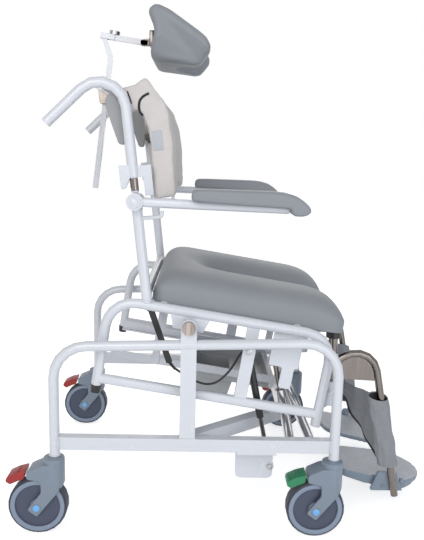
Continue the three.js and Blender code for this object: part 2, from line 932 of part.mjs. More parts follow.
function legPlug(side) {
  const top = -rearLegFoot - seatingGap;
  const plug = new THREE.CylinderGeometry(
    plugDiameter / 2,
    plugDiameter / 2 - overrun,
    plugLength,
    tubeSides,
  )
    .rotateX(Math.PI / 2)
    .translate(-seatRearLeg, side * seatHalfWidth, top - plugLength / 2);
  return piece("leg_plug_" + sideName(side), plug, blackPlastic);
}

// Cross tubes under the pad with the hung rails that the pan slides on.
function seatCrossFrame() {
  const tubeEnd = seatHalfWidth - tubeDiameter / 2 - seatingGap;
  const parts = [rearCrossX, frontCrossX].map((x) =>
    straightTube(point(x, -tubeEnd, seatTubeHeight), point(x, tubeEnd, seatTubeHeight), backCrossDiameter),
  );
  const railLength = panRailFront - panRailRear;
  const railX = (panRailFront + panRailRear) / 2;
  for (const side of [right, left]) {
    const wallY = side * (panRailHalf + panRailWeb / 2);
    parts.push(box(railLength, panRailWeb, panRailWall, railX, wallY, panRailHeight + panRailWall / 2));
    parts.push(
      box(
        railLength,
        panRailLedge,
        panRailWeb,
        railX,
        side * (panRailHalf + panRailWeb - panRailLedge / 2),
        panRailHeight + panRailWeb / 2,
      ),
    );
    for (const x of [rearCrossX, frontCrossX]) {
      const hangerHeightHere = seatTubeHeight - panRailHeight;
      parts.push(
        box(
          panHangerWidth,
          panRailWeb,
          hangerHeightHere,
          x,
          side * (panRailHalf + (3 * panRailWeb) / 2 - seatingGap),
          panRailHeight + hangerHeightHere / 2,
        ),
      );
    }
  }
  const cheek = roundedOutline(
    [
      [cheekRear, seatTubeHeight],
      [cheekRear, -cheekDrop],
      [frontCrossX - cheekBarWidth / 2, -cheekDrop],
      [frontCrossX - cheekBarWidth / 2, -cheekBarDrop],
      [frontCrossX + cheekBarWidth / 2, -cheekBarDrop],
      [frontCrossX + cheekBarWidth / 2, -cheekDrop],
      [cheekFront, -cheekDrop],
      [cheekFront, seatTubeHeight],
    ],
    cheekThickness,
  );
  parts.push(plate(cheek, -cheekY, cheekThickness));
  return piece("seat_cross_frame", joined(parts), paint);
}

// The pan: a shallow tray with a deeper bucket at its rear and a flange that rests on the rails.
function pan() {
  const top = panRailHeight + panRailWeb + seatingGap + panWall;
  const flangeBottom = top - panWall;
  const middle = panRear + panLength / 2;
  const inner = panHalfWidth - panFlange;
  const flange = box(panLength, 2 * panHalfWidth, panWall, middle, 0, top - panWall / 2);
  const trayLength = panLength - 2 * panFlange;
  const tray = box(trayLength, 2 * inner, panDepth, middle, 0, flangeBottom - panDepth / 2 + panWall / 2);
  const hollow = box(
    trayLength - 2 * panWall,
    2 * (inner - panWall),
    panDepth,
    middle,
    0,
    top - panDepth / 2 + seatingGap,
  );
  const bucketX = panRear + panFlange + bucketLength / 2;
  const bucketTop = flangeBottom - panDepth + panWall;
  const bucket = taperedBlock(bucketLength, 2 * bucketHalfWidth, bucketDepth, bucketTaper);
  bucket.translate(bucketX, 0, bucketTop - bucketDepth);
  const well = taperedBlock(
    bucketLength - 2 * panWall,
    2 * (bucketHalfWidth - panWall),
    bucketDepth + 2 * panWall,
    bucketTaper,
  );
  well.translate(bucketX, 0, bucketTop - bucketDepth + panWall);
  return piece("commode_pan", cut(joined([flange, tray, bucket]), [hollow, well]), panGrey);
}

// A block from z = 0 up, narrower at its foot.
function taperedBlock(length, width, height, taper) {
  const block = new THREE.BoxGeometry(length, width, height).translate(0, 0, height / 2);
  const place = block.attributes.position;
  for (let i = 0; i < place.count; i++) {
    if (place.getZ(i) < height / 2) {
      place.setX(i, place.getX(i) - Math.sign(place.getX(i)) * taper);
      place.setY(i, place.getY(i) - Math.sign(place.getY(i)) * taper);
    }
  }
  return block;
}

// A cushion: rounded edges, crowned top and a flat bottom at z = 0.
function cushion(length, width, height, crown, cells, roundness) {
  const [along, across, up] = cells;
  const block = new THREE.BoxGeometry(2, 2, 2, along, across, up);
  const place = block.attributes.position;
  for (let i = 0; i < place.count; i++) {
    const u = place.getX(i);
    const v = place.getY(i);
    const w = place.getZ(i);
    const size = Math.abs(u) ** roundness + Math.abs(v) ** roundness + Math.abs(w) ** roundness;
    const pull = size ** (-1 / roundness);
    const x = u * pull;
    const y = v * pull;
    const z = Math.max(w * pull, -1);
    const rise = z > 0 ? crown * z * (1 - x * x) * (1 - y * y) : 0;
    place.setXYZ(i, (x * length) / 2, (y * width) / 2, ((z + 1) * height) / 2 + rise);
  }
  return block;
}

// The seat pad: two crowned thigh rests that meet a broad rear rest behind the open aperture.
function seatPad() {
  const bottom = seatTubeHeight + padSeating;
  const thighWidth = padHalfWidth - padApertureHalf;
  const shapes = [right, left].map((side) =>
    cushion(padLength, thighWidth, padThickness, padCrown, thighCells, padRoundness).translate(
      padRear + padLength / 2,
      side * (padApertureHalf + thighWidth / 2),
      bottom,
    ),
  );
  const rearLength = padApertureRear - padRear;
  const rearRest = cushion(
    rearLength,
    2 * (padApertureHalf + padThighOverlap),
    padThickness,
    padCrown,
    rearRestCells,
    padRoundness,
  ).translate(padRear + rearLength / 2, 0, bottom);
  const grooves = [rearCrossX, frontCrossX].map((x) =>
    straightTube(
      point(x, -seatHalfWidth, seatTubeHeight),
      point(x, seatHalfWidth, seatTubeHeight),
      backCrossDiameter + 2 * seatingGap,
    ),
  );
  return piece("seat_pad", cut(joined([...shapes, rearRest]), grooves), padGrey);
}

// A telescopic strut between two points: an outer body and a rod that slides in it, each with its eye
// and pin. The body is at the lower end unless it hangs from the upper one.
function strut(names, lower, upper, y, sizes, bosses, materials) {
  const line = upper.clone().sub(lower);
  const length = line.length();
  const group = new THREE.Group();
  group.position.set(lower.x, y, lower.y);
  group.rotation.y = Math.atan2(line.x, line.y);
  const place = (distance) => (sizes.bodyOnTop ? length - distance : distance);
  const upright = (diameter, from, to, sides = tubeSides) =>
    new THREE.CylinderGeometry(diameter / 2, diameter / 2, to - from, sides)
      .rotateX(Math.PI / 2)
      .translate(0, 0, place((from + to) / 2));
  const end = (distance, boss) => [
    crossDisc(eyeDiameter, eyeWidth, 0, 0, place(distance)),
    crossDisc(eyePinDiameter, Math.abs(boss), 0, boss / 2, place(distance), smallSides),
  ];
  const bodyLength = length * sizes.bodyShare;
  const floor = eyeDiameter / 2 + seatingGap;
  const bore = upright(sizes.rod + 2 * runningGap, floor, bodyLength + overrun);
  const outer = upright(sizes.body, eyePinDiameter / 4, bodyLength, 2 * tubeSides);
  const body = cut(joined([outer, ...end(0, bosses[0])]), [bore]);
  group.add(piece(names[0], body, materials[0]));
  const rod = joined([upright(sizes.rod, floor + runningGap, length), ...end(length, bosses[1])]);
  group.add(piece(names[1], rod, materials[1]));
  return group;
}

function releaseLever() {
  const top = point(leverTopX, -leverY, leverTopZ);
  const foot = point(leverFootX, -leverY, leverFootZ);
  const blade = sweep(boxSection(leverThickness, leverWidth), new BentLine([top, foot], 0));
  const bush = crossDisc(leverBushDiameter, leverThickness, leverTopX, -leverY, leverTopZ);
  const reach = seatHalfWidth - tubeDiameter / 2 - seatingGap - leverY;
  const pin = crossDisc(eyePinDiameter, reach, leverTopX, -leverY - reach / 2, leverTopZ);
  return piece("release_lever", joined([blade, bush, pin]), blackPlastic);
}

// Route of the release cable after it leaves the lever's foot: places along, across and up.
const cableRoute = [
  [-14, -222, -115],
  [8, -221, -126],
  [27, -219, -134],
  [47, -216, -141],
  [66, -213, -142],
  [83, -210, -136],
  [97, -207, -122],
  [108, -206, -105],
  [116, -206, -86],
  [122, -206, -68],
  [129, -208, -55],
];

function releaseCable() {
  const foot = point(leverFootX, -leverY, leverFootZ);
  const down = foot.clone().sub(point(leverTopX, -leverY, leverTopZ)).normalize();
  const headFace = springY - (springBodyDiameter + cableDiameter) / 2 - seatingGap;
  const route = new THREE.CatmullRomCurve3(
    [
      foot.clone().addScaledVector(down, runningGap),
      foot.clone().addScaledVector(down, cableDiameter),
      ...cableRoute.map(([x, y, z]) => point(x, y, z)),
      point(springHead.x, -headFace, springHead.z),
    ],
    false,
    "centripetal",
  );
  const tube = new THREE.ExtrudeGeometry(roundSection(cableDiameter), {
    steps: cableSteps,
    extrudePath: route,
    curveSegments: cableSides / 2,
  });
  return piece("release_cable", tube, blackPlastic);
}

// Back frame: two posts with hub barrels, the cross tube between their feet and the armrest stops.
function backFrame() {
  const parts = [];
  const seatTubes = [];
  for (const side of [right, left]) {
    const y = side * seatHalfWidth;
    const foot = tubeDiameter / 4;
    parts.push(straightTube(point(0, y, foot), point(0, y, hubHeight), tubeDiameter));
    const along = point(tubeDiameter * 2, 0, 0).applyAxisAngle(point(0, 1, 0), degrees(backLeanDegrees));
    seatTubes.push(
      straightTube(
        along.clone().setY(y),
        along.clone().negate().setY(y),
        tubeDiameter + 2 * seatingGap,
        2 * tubeSides,
      ),
    );
    parts.push(crossDisc(hubDiameter, armHubWidth, 0, y, hubHeight, 2 * tubeSides));
    const tip = armY - armTubeDiameter / 2;
    parts.push(
      bentTube(
        [
          point(0, y, stopRodHeight),
          point(stopRodReach, side * tip, stopRodHeight),
          point(stopRodReach, side * tip, stopRodHeight + stopRodRise),
        ],
        stopRodBend,
        stopRodDiameter,
        smallSides,
      ),
    );
  }
  parts.push(
    straightTube(
      point(0, -seatHalfWidth, backCrossHeight),
      point(0, seatHalfWidth, backCrossHeight),
      backCrossDiameter,
    ),
  );
  return piece("back_frame", cut(joined(parts), seatTubes), paint);
}

// Push handles, the bar that joins them, the plates for the cover and the latches over the hubs.
function handleFrame() {
  const parts = [];
  for (const side of [right, left]) {
    const y = side * seatHalfWidth;
    parts.push(
      bentTube(
        [
          point(0, y, handleFootHeight),
          point(0, y, handleCornerHeight),
          point(gripEndX, y, gripEndHeight),
        ],
        handleBend,
        tubeDiameter,
      ),
    );
    const barrelTop = hubHeight + hubDiameter / 2 + seatingGap;
    parts.push(straightTube(point(0, y, barrelTop), point(0, y, handleFootHeight + overrun), spigotDiameter));
    const slingPlate = outlineOf([
      [tubeDiameter / 4, handleFootHeight],
      [slingPlateInset, handleFootHeight],
      [slingPlateInset, slingPlateBottom],
      [slingPlateReach, slingPlateBottom],
      [slingPlateReach, slingPlateTop],
      [tubeDiameter / 4, slingPlateTop],
    ]);
    parts.push(plate(slingPlate, y, slingPlateThickness));
    const latch = roundedOutline(
      [
        [-tubeDiameter / 4, latchTop],
        [-latchReach, latchTop],
        [-latchReach, latchBottom],
        [-latchReach + latchWidth / 2, latchBottom],
        [-tubeDiameter / 4, handleFootHeight + overrun],
      ],
      overrun,
    );
    parts.push(plate(latch, y, latchThickness));
  }
  parts.push(
    straightTube(
      point(crossBarX, -seatHalfWidth, crossBarHeight),
      point(crossBarX, seatHalfWidth, crossBarHeight),
      backCrossDiameter,
    ),
  );
  return piece("handle_frame", joined(parts), paint);
}

// Outline of a wing of the back cover from the side, as shares of its length and height.
const wingShares = [
  [0, 0.65],
  [0.09, 0.81],
  [0.24, 0.89],
  [0.52, 0.91],
  [0.71, 1],
  [0.81, 0.8],
  [0.93, 0.75],
  [1, 0.55],
  [1, 0.29],
  [0.84, 0.14],
  [0.64, 0.16],
  [0.58, 0.41],
  [0.5, 0.52],
  [0.4, 0.54],
  [0.25, 0.3],
  [0.21, 0],
  [0.167, 0],
];

// The padded back cover: a bowed panel, tabs to the side plates, and wings at its upper corners that
// reach back inside the handles to a band across the rear.
function backCover() {
  const height = coverTop - coverBottom;
  const panel = cushion(height, 2 * coverHalfWidth, coverThickness, 0, coverCells, coverRoundness);
  panel.rotateY(-Math.PI / 2);
  const place = panel.attributes.position;
  for (let i = 0; i < place.count; i++) {
    const share = place.getY(i) / coverHalfWidth;
    place.setX(i, place.getX(i) + coverRear + coverThickness - coverBow * (1 - share * share));
    place.setZ(i, place.getZ(i) + (coverTop + coverBottom) / 2);
  }
  const wing = outlineOf(
    wingShares.map(([along, up]) => [
      wingRear + along * (wingFront - wingRear),
      wingFoot + up * (wingTop - wingFoot),
    ]),
  );
  const wingFootRear = wingRear + wingShares.at(-1)[0] * (wingFront - wingRear);
  const band = outlineOf([
    [wingRear, rearBandTop],
    [wingFootRear, wingFoot],
    [wingFootRear + rearBandThickness, wingFoot],
    [wingRear + rearBandThickness, rearBandTop],
  ]);
  const postFace = seatHalfWidth - tubeDiameter / 2 - seatingGap;
  const plateFace = seatHalfWidth - slingPlateThickness / 2 - seatingGap;
  const tabWidth = plateFace - coverHalfWidth + coverTabThickness * 3;
  const held = [right, left].flatMap((side) => [
    plate(wing, side * (postFace - wingThickness / 2), wingThickness),
    box(
      coverTabThickness,
      tabWidth,
      coverTabTop - coverTabBottom,
      coverTabX + coverRear / 2,
      side * (plateFace - tabWidth / 2),
      (coverTabTop + coverTabBottom) / 2,
    ),
  ]);
  held.push(plate(band, 0, 2 * (postFace - wingThickness / 2)));
  return piece("back_cover", joined([panel, ...held]), coverCloth);
}

// Headrest: clamp on the bar between the handles, bent stem, arm with its knob, bracket and winged pad.
function stemAt(height) {
  return crossBarX - stemBehindBar + (height - crossBarHeight) * Math.tan(degrees(stemLeanDegrees));
}

function headClamp() {
  const stemX = stemAt(crossBarHeight);
  const middle = (crossBarX + stemX) / 2;
  const block = plate(
    roundedOutline(
      [
        [middle - clampLength / 2, crossBarHeight - clampHeight / 2],
        [middle + clampLength / 2, crossBarHeight - clampHeight / 2],
        [middle + clampLength / 2, crossBarHeight + clampHeight / 2],
        [middle - clampLength / 2, crossBarHeight + clampHeight / 2],
      ],
      armPadRound,
    ),
    0,
    clampWidth,
  );
  const barHole = crossDisc(
    backCrossDiameter + 2 * seatingGap,
    clampWidth + overrun,
    crossBarX,
    0,
    crossBarHeight,
  );
  const stemHole = new THREE.BoxGeometry(
    stemBar + 2 * seatingGap,
    stemBar + 2 * seatingGap,
    clampHeight * 2,
  )
    .rotateY(degrees(stemLeanDegrees))
    .translate(stemX, 0, crossBarHeight);
  return piece("headrest_clamp", cut(solid(block), [barHole, stemHole]), paint);
}

function headStem() {
  const path = new BentLine(
    [
      point(stemFootX, 0, stemFootHeight),
      point(stemElbowX, 0, stemElbowHeight),
      point(stemTopX, 0, stemTopHeight),
    ],
    stemBar,
    stemBendSteps,
  );
  return piece("headrest_stem", sweep(boxSection(stemBar, stemBar), path), paint);
}

// Outline of the headrest pad from the side, as shares of its depth and height.
const headPadShares = [
  [0, 0.92],
  [0.096, 1],
  [0.19, 0.99],
  [0.35, 0.92],
  [0.82, 0.61],
  [0.93, 0.52],
  [1, 0.4],
  [0.99, 0.28],
  [0.92, 0.13],
  [0.83, 0.015],
  [0.73, 0],
  [0.36, 0.088],
  [0.12, 0.14],
  [0.037, 0.2],
  [0.029, 0.29],
  [0.074, 0.5],
  [0.1, 0.58],
  [0.074, 0.72],
  [0.0074, 0.85],
];

function headPad() {
  const profile = outlineOf(
    headPadShares.map(([along, up]) => [
      headPadRear + along * headPadDepth,
      headPadBottom + up * headPadHeight,
    ]),
  );
  const block = plate(profile, 0, 2 * headPadHalfWidth, headPadRound);
  const hollow = new THREE.CylinderGeometry(1, 1, 1, 3 * tubeSides)
    .scale(headHollowDepth, headPadHalfWidth * 2, headHollowHalf)
    .rotateX(Math.PI / 2)
    .translate(headPadHalfWidth, 0, 0);
  return piece("headrest_pad", cut(solid(block), [hollow]), padGrey);
}

// The arm forks round the top of the stem and carries its clamping knob on top.
function headArm() {
  const forkWidth = stemBar + 2 * (runningGap + armForkWall);
  const bar = box(armBarEnd - armForkRoot, armBarWidth, armBarHeight, (armBarEnd + armForkRoot) / 2, 0, 0);
  const root = box(armBarHeight, forkWidth, armBarHeight, armForkRoot + armBarHeight / 2, 0, 0);
  const cheeks = [right, left].map((side) =>
    box(
      armForkRoot + armForkRear + overrun,
      armForkWall,
      armBarHeight,
      (armForkRoot - armForkRear + overrun) / 2,
      (side * (forkWidth - armForkWall)) / 2,
      0,
    ),
  );
  return piece("headrest_arm", joined([bar, root, ...cheeks]), paint);
}

function headKnob() {
  const knob = new THREE.CylinderGeometry(
    headKnobDiameter / 2,
    headKnobDiameter / 2,
    headKnobHeight,
    2 * tubeSides,
  )
    .rotateX(Math.PI / 2)
    .translate(headKnobOffset, 0, (armBarHeight + headKnobHeight) / 2 + seatingGap);
  return piece("headrest_knob", knob, plateGrey);
}

// Bracket behind the pad: a plate with a boss towards the pad and two ears astride the arm's end.
function headBracket() {
  const height = headBracketTop + headBracketBottom;
  const middle = (headBracketTop - headBracketBottom) / 2;
  const rear = -headBracketFace - headBracketThickness;
  const board = box(
    headBracketThickness,
    headBracketWidth,
    height,
    rear + headBracketThickness / 2,
    0,
    middle,
  );
  const bossLength = headBracketFace - headBossFace;
  const boss = box(
    bossLength + overrun,
    headBossWidth,
    headBossTop + headBossBottom,
    -headBossFace - (bossLength + overrun) / 2,
    0,
    (headBossTop - headBossBottom) / 2,
  );
  const earX = armEnd.x - headPadX;
  const ears = [right, left].map((side) => {
    const ear = new THREE.Shape();
    ear.moveTo(rear + overrun, armEnd.z - armBarHeight / 2);
    ear.lineTo(rear + overrun, armEnd.z + armBarHeight / 2);
    ear.lineTo(earX, armEnd.z + armBarHeight / 2);
    ear.absarc(earX, armEnd.z, armBarHeight / 2, Math.PI / 2, (3 * Math.PI) / 2);
    return plate(ear, side * (armBarWidth / 2 + runningGap + headEarThickness / 2), headEarThickness);
  });
  return piece("headrest_bracket", joined([board, boss, ...ears]), blackPlastic);
}

// Armrests: tube with hub, and a pad with a dropped nose.
function armTube(side) {
  const y = side * armY;
  const hubY = side * (seatHalfWidth + armHubWidth + seatingGap);
  const tube = straightTube(point(0, y, 0), point(armTubeEnd, y, 0), armTubeDiameter);
  const hub = crossDisc(hubDiameter, armHubWidth, 0, hubY, 0, 2 * tubeSides);
  const cap = crossDisc(
    armHubCap,
    armHubCapHeight,
    0,
    hubY + (side * (armHubWidth + armHubCapHeight)) / 2,
    0,
    2 * tubeSides,
  );
  return piece("arm_tube_" + sideName(side), joined([tube, hub, cap]), paint);
}

function armPad(side) {
  const y = side * (armY + armPadOffset);
  const nose = armPadFront - armPadNoseLength;
  const outline = roundedOutline(
    [
      [armPadRear, armPadBottom],
      [armPadRear, armPadTop],
      [nose - armPadNoseLength, armPadTop],
      [armPadFront - armPadRound, armPadTop - armPadRound],
      [armPadFront, -armPadNose],
      [nose, -armPadNose],
      [nose, armPadBottom],
    ],
    armPadRound * 2,
  );
  const block = plate(outline, y, armPadWidth, armPadRound);
  const groove = straightTube(
    point(0, side * armY, 0),
    point(armTubeEnd + seatingGap, side * armY, 0),
    armTubeDiameter + 2 * seatingGap,
  );
  return piece("arm_pad_" + sideName(side), cut(solid(block), [groove]), padGrey);
}

// Outline of the gusset under the arched tube: shares of the way to the tube and of the arch's height.
const gussetShares = [
  [0, 0.38],
  [1, 0.35],
  [1, 0.48],
  [0.86, 0.63],
  [0.67, 0.72],
  [0.43, 0.71],
  [0, 0.53],
];

// Leg hanger: post, arched tube and gusset welded together.
function archX(height) {
  const share = (archCornerHeight - height) / (archCornerHeight - archEndHeight);
  return archCornerX + share * (archEndX - archCornerX);
}

function hanger(side) {
  const post = new THREE.CylinderGeometry(
    hangerPostDiameter / 2,
    hangerPostDiameter / 2,
    hangerPostTop - hangerPostFoot,
    tubeSides,
  )
    .rotateX(Math.PI / 2)
    .translate(0, 0, (hangerPostTop + hangerPostFoot) / 2);
  const collar = new THREE.CylinderGeometry(
    receiverDiameter / 2,
    receiverDiameter / 2,
    hangerCollar,
    2 * tubeSides,
  )
    .rotateX(Math.PI / 2)
    .translate(0, 0, receiverLength + runningGap + hangerCollar / 2);
  const arch = bentTube(
    [
      point(0, 0, archStartHeight),
      point(archCornerX, 0, archCornerHeight),
      point(archEndX, 0, archEndHeight),
    ],
    archBend,
    archDiameter,
  );
  const gusset = plate(
    outlineOf(
      gussetShares.map(([along, up]) => [
        along * archX(up * archCornerHeight),
        up * archCornerHeight,
      ]),
    ),
    0,
    gussetThickness,
  );
  return piece("hanger_" + sideName(side), joined([post, collar, arch, gusset]), stainless);
}

function hangerCap(side) {
  const base = hangerPostTop + seatingGap;
  const cap = new THREE.CylinderGeometry(
    hangerCapDiameter / 2,
    hangerCapDiameter / 2,
    hangerCapHeight,
    2 * tubeSides,
  )
    .rotateX(Math.PI / 2)
    .translate(0, 0, base + hangerCapHeight / 2);
  return piece("hanger_cap_" + sideName(side), cap, blackPlastic);
}

// Bracket clamped round the hanger tube, with two lugs that the footplate hinges between.
function footBracket(side) {
  const inward = -side;
  const outerFace = archDiameter / 2 + footBracketWall;
  const innerFace = footHingeInset - footKnuckleDiameter / 2 - runningGap;
  const block = plate(
    roundedOutline(
      [
        [-footBracketLength / 2, -footBracketHeight / 2],
        [footBracketLength / 2, -footBracketHeight / 2],
        [footBracketLength / 2, footBracketHeight / 2],
        [-footBracketLength / 2, footBracketHeight / 2],
      ],
      armPadRound * 2,
    ),
    (inward * (innerFace - outerFace)) / 2,
    innerFace + outerFace,
  );
  const lugs = [-1, 1].map((end) =>
    new THREE.CylinderGeometry(footLugDiameter / 2, footLugDiameter / 2, footLugLength, smallSides)
      .rotateZ(Math.PI / 2)
      .translate(
        end * (footKnuckleLength / 2 + runningGap + footLugLength / 2),
        inward * footHingeInset,
        0,
      ),
  );
  const rise = footBracketHeight;
  const hole = straightTube(
    point(archX(footHingeHeight + rise) - archX(footHingeHeight), 0, rise),
    point(archX(footHingeHeight - rise) - archX(footHingeHeight), 0, -rise),
    archDiameter + 2 * seatingGap,
  ).rotateY(-degrees(footDropDegrees));
  const body = cut(joined([block, ...lugs]), [hole]);
  return piece("footplate_bracket_" + sideName(side), body, casterGrey);
}

// Footplate: a rounded plate with ribs along its tread, in axes at its hinge.
function footplate(side) {
  const inward = -side;
  const edge = footPlateBevel;
  const across = (share) => footPlateOuter + share * (footPlateInner - footPlateOuter);
  const along = (share) => footPlateRear + share * (footPlateFront - footPlateRear);
  const outline = new THREE.Shape();
  outline.moveTo(along(footCornerShare), across(0));
  outline.lineTo(along(footStraightShare), across(0));
  outline.quadraticCurveTo(along(footNoseShare), across(footCornerShare), along(1), across(footTipShare));
  outline.quadraticCurveTo(along(1), across(1), along(footStraightShare), across(1));
  outline.lineTo(along(2 * footCornerShare), across(footRearShare));
  outline.quadraticCurveTo(along(0), across(footRearShare), along(0), across(footTipShare));
  outline.lineTo(along(0), across(footCornerShare));
  outline.quadraticCurveTo(along(0), across(0), along(footCornerShare), across(0));
  const slab = new THREE.ExtrudeGeometry(outline, {
    depth: footPlateThickness - 2 * edge,
    curveSegments: bendSteps,
    bevelEnabled: true,
    bevelSize: edge,
    bevelThickness: edge,
    bevelOffset: -edge,
    bevelSegments: 1,
  }).translate(0, 0, edge - footPlateThickness);
  const knuckle = new THREE.CylinderGeometry(
    footKnuckleDiameter / 2,
    footKnuckleDiameter / 2,
    footKnuckleLength,
    tubeSides,
  ).rotateZ(Math.PI / 2);
  const tongueDepth = footPlateOuter + overrun;
  const tongue = box(
    footKnuckleLength,
    tongueDepth,
    footKnuckleDiameter / 2,
    0,
    tongueDepth / 2,
    -footKnuckleDiameter / 4,
  );
  const ribPitch = (footPlateInner - footPlateOuter) / (footRibs + 1);
  const ribs = [];
  for (let i = 1; i <= footRibs; i++) {
    const y = footPlateOuter + i * ribPitch;
    ribs.push(box(footRibLength, ribPitch * footRibShare, footRibHeight, footRibX, y, footRibHeight / 2 - edge / 2));
  }
  const body = joined([slab, knuckle, tongue, ...ribs]);
  const shaped = inward > 0 ? body : body.mirror([0, 1, 0]);
  return piece("footplate_" + sideName(side), shaped, plateGrey);
}

// Calf strap: a sleeve round the right hanger tube and the band that hangs across behind the legs.
function strapSleeve(y) {
  const shell = (inset, extra) => {
    const height = sleeveTop - sleeveBottom + 2 * extra;
    const tube = new THREE.CylinderGeometry(1, 1, height, 2 * tubeSides)
      .rotateX(Math.PI / 2)
      .translate(0, 0, (sleeveTop + sleeveBottom) / 2);
    const place = tube.attributes.position;
    for (let i = 0; i < place.count; i++) {
      const z = place.getZ(i);
      const share = (z - sleeveBottom) / (sleeveTop - sleeveBottom);
      const width = sleeveWidthBottom + share * (sleeveWidthTop - sleeveWidthBottom);
      place.setX(i, archX(z) + place.getX(i) * (width / 2 - inset));
      place.setY(i, y + place.getY(i) * (sleeveDepth / 2 - inset));
    }
    return tube;
  };
  return cut(solid(shell(0, 0)), [shell(sleeveWall, overrun)]);
}

function calfStrap() {
  const start = -hangerY + sleeveDepth / 2 - sleeveWall / 2;
  const end = hangerY - sleeveDepth / 2 - runningGap;
  const height = sleeveTop - sleeveBottom - 2 * strapMargin;
  const band = new THREE.BoxGeometry(strapThickness, end - start, height, 1, strapSteps, 1);
  const place = band.attributes.position;
  for (let i = 0; i < place.count; i++) {
    const y = place.getY(i) + (start + end) / 2;
    const slack = 1 - (y / end) ** 2;
    const level = place.getZ(i) + (sleeveTop + sleeveBottom) / 2;
    const drop = place.getZ(i) > 0 ? strapDropTop : strapDropBottom;
    place.setXYZ(i, place.getX(i) + archX(level) - strapSagBack * slack, y, level - drop * slack);
  }
  return piece("calf_strap", strapSleeve(-hangerY).add(solid(band)), strapCloth);
}

// Assembly.
const chair = new THREE.Group();
const base = new THREE.Group();
chair.add(base);
base.add(baseSide(right), baseSide(left), crossBrace());

const casterPlaces = [
  ["caster_rear_right", -wheelbase / 2, right, redPedal],
  ["caster_rear_left", -wheelbase / 2, left, redPedal],
  ["caster_front_right", wheelbase / 2, right, greenPedal],
  ["caster_front_left", wheelbase / 2, left, redPedal],
];
for (const [name, x, side, pedalPaint] of casterPlaces) {
  const group = caster(name, pedalPaint);
  group.position.set(x, (side * track) / 2, 0);
  base.add(group);
}

const seat = frame(uprightX, 0, pivotHeight, seatDropDegrees);
chair.add(seat);
for (const side of [right, left]) {
  seat.add(seatSide(side), tiltPin(side), legPlug(side));
}
seat.add(seatCrossFrame(), pan(), seatPad(), releaseLever(), releaseCable());

const springSizes = {
  body: springBodyDiameter,
  rod: springRodDiameter,
  bodyShare: springBodyShare,
  bodyOnTop: true,
};
const supportSizes = {
  body: supportDiameter,
  rod: supportRodDiameter,
  bodyOnTop: false,
};
const springLowerBoss = -(springPlateY + springPlateThickness / 2 - springY);
const springUpperBoss = -(seatHalfWidth - strutThickness / 2 - seatingGap - springY);
const supportBoss = (supportDiameter + runningGap) / 2;
const cheekFace = cheekY - cheekThickness / 2 - seatingGap;
base.add(
  strut(
    ["gas_spring_body", "gas_spring_rod"],
    new THREE.Vector2(springLowerX, springLowerZ),
    new THREE.Vector2(springUpperX, springUpperZ),
    -springY,
    springSizes,
    [springUpperBoss, springLowerBoss],
    [blackPlastic, stainless],
  ),
  strut(
    ["support_cylinder_rear", "support_rod_rear"],
    new THREE.Vector2(rearStrutLowerX, rearStrutLowerZ),
    new THREE.Vector2(rearStrutUpperX, rearStrutUpperZ),
    -rearSupportY,
    { ...supportSizes, bodyShare: rearSupportShare },
    [supportBoss, rearSupportY - cheekFace],
    [aluminium, stainless],
  ),
  strut(
    ["support_cylinder_front", "support_rod_front"],
    new THREE.Vector2(frontStrutLowerX, frontStrutLowerZ),
    new THREE.Vector2(frontStrutUpperX, frontStrutUpperZ),
    -frontSupportY,
    { ...supportSizes, bodyShare: frontSupportShare },
    [-supportBoss, frontSupportY - cheekFace],
    [aluminium, stainless],
  ),
);

const back = frame(backFootX, 0, seatTubeHeight, -backLeanDegrees);
seat.add(back);
back.add(backFrame(), handleFrame(), backCover(), headClamp(), headStem());

const uprightAgain = backLeanDegrees - seatDropDegrees;
const head = frame(stemTopX, 0, stemTopHeight, uprightAgain);
back.add(head);
const headArmAxes = frame(0, 0, 0, armBarSlopeDegrees);
head.add(headArmAxes);
headArmAxes.add(headArm(), headKnob());
const padAxes = frame(headPadX, 0, 0, 0);
head.add(padAxes);
padAxes.add(headPad(), headBracket());

const arms = frame(0, 0, hubHeight, uprightAgain + armSlopeDegrees);
back.add(arms);
for (const side of [right, left]) {
  arms.add(armTube(side), armPad(side));
}

function strapAxes(cloth) {
  const group = frame(hangerX - uprightX, 0, hangerHeight - pivotHeight, 0);
  group.add(cloth);
  return group;
}

for (const side of [right, left]) {
  const upright = frame(0, 0, 0, -seatDropDegrees);
  seat.add(upright);
  const hangerAxes = frame(hangerX - uprightX, side * hangerY, hangerHeight - pivotHeight, 0);
  upright.add(hangerAxes);
  hangerAxes.add(hanger(side), hangerCap(side));
  if (side === right) {
    upright.add(strapAxes(calfStrap()));
  } else {
    upright.add(strapAxes(piece("strap_sleeve_left", strapSleeve(hangerY), strapCloth)));
  }
  const hingeAxes = frame(archX(footHingeHeight), 0, footHingeHeight, footDropDegrees);
  hangerAxes.add(hingeAxes);
  hingeAxes.add(footBracket(side));
  const plateAxes = frame(0, -side * footHingeInset, 0, 0);
  hingeAxes.add(plateAxes);
  plateAxes.add(footplate(side));
}

// The origin is under the middle of the whole chair, on the floor.
const extent = new THREE.Box3().setFromObject(chair);
const middle = extent.getCenter(new THREE.Vector3());
chair.position.set(-middle.x, -middle.y, -extent.min.z);

const model = new THREE.Group();
model.name = "shower_wheelchair";
model.add(chair);

export default model;
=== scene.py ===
import json
import math

import bmesh
import bpy
from bpy.props import FloatProperty, FloatVectorProperty, PointerProperty
from mathutils import Matrix, Vector, noise


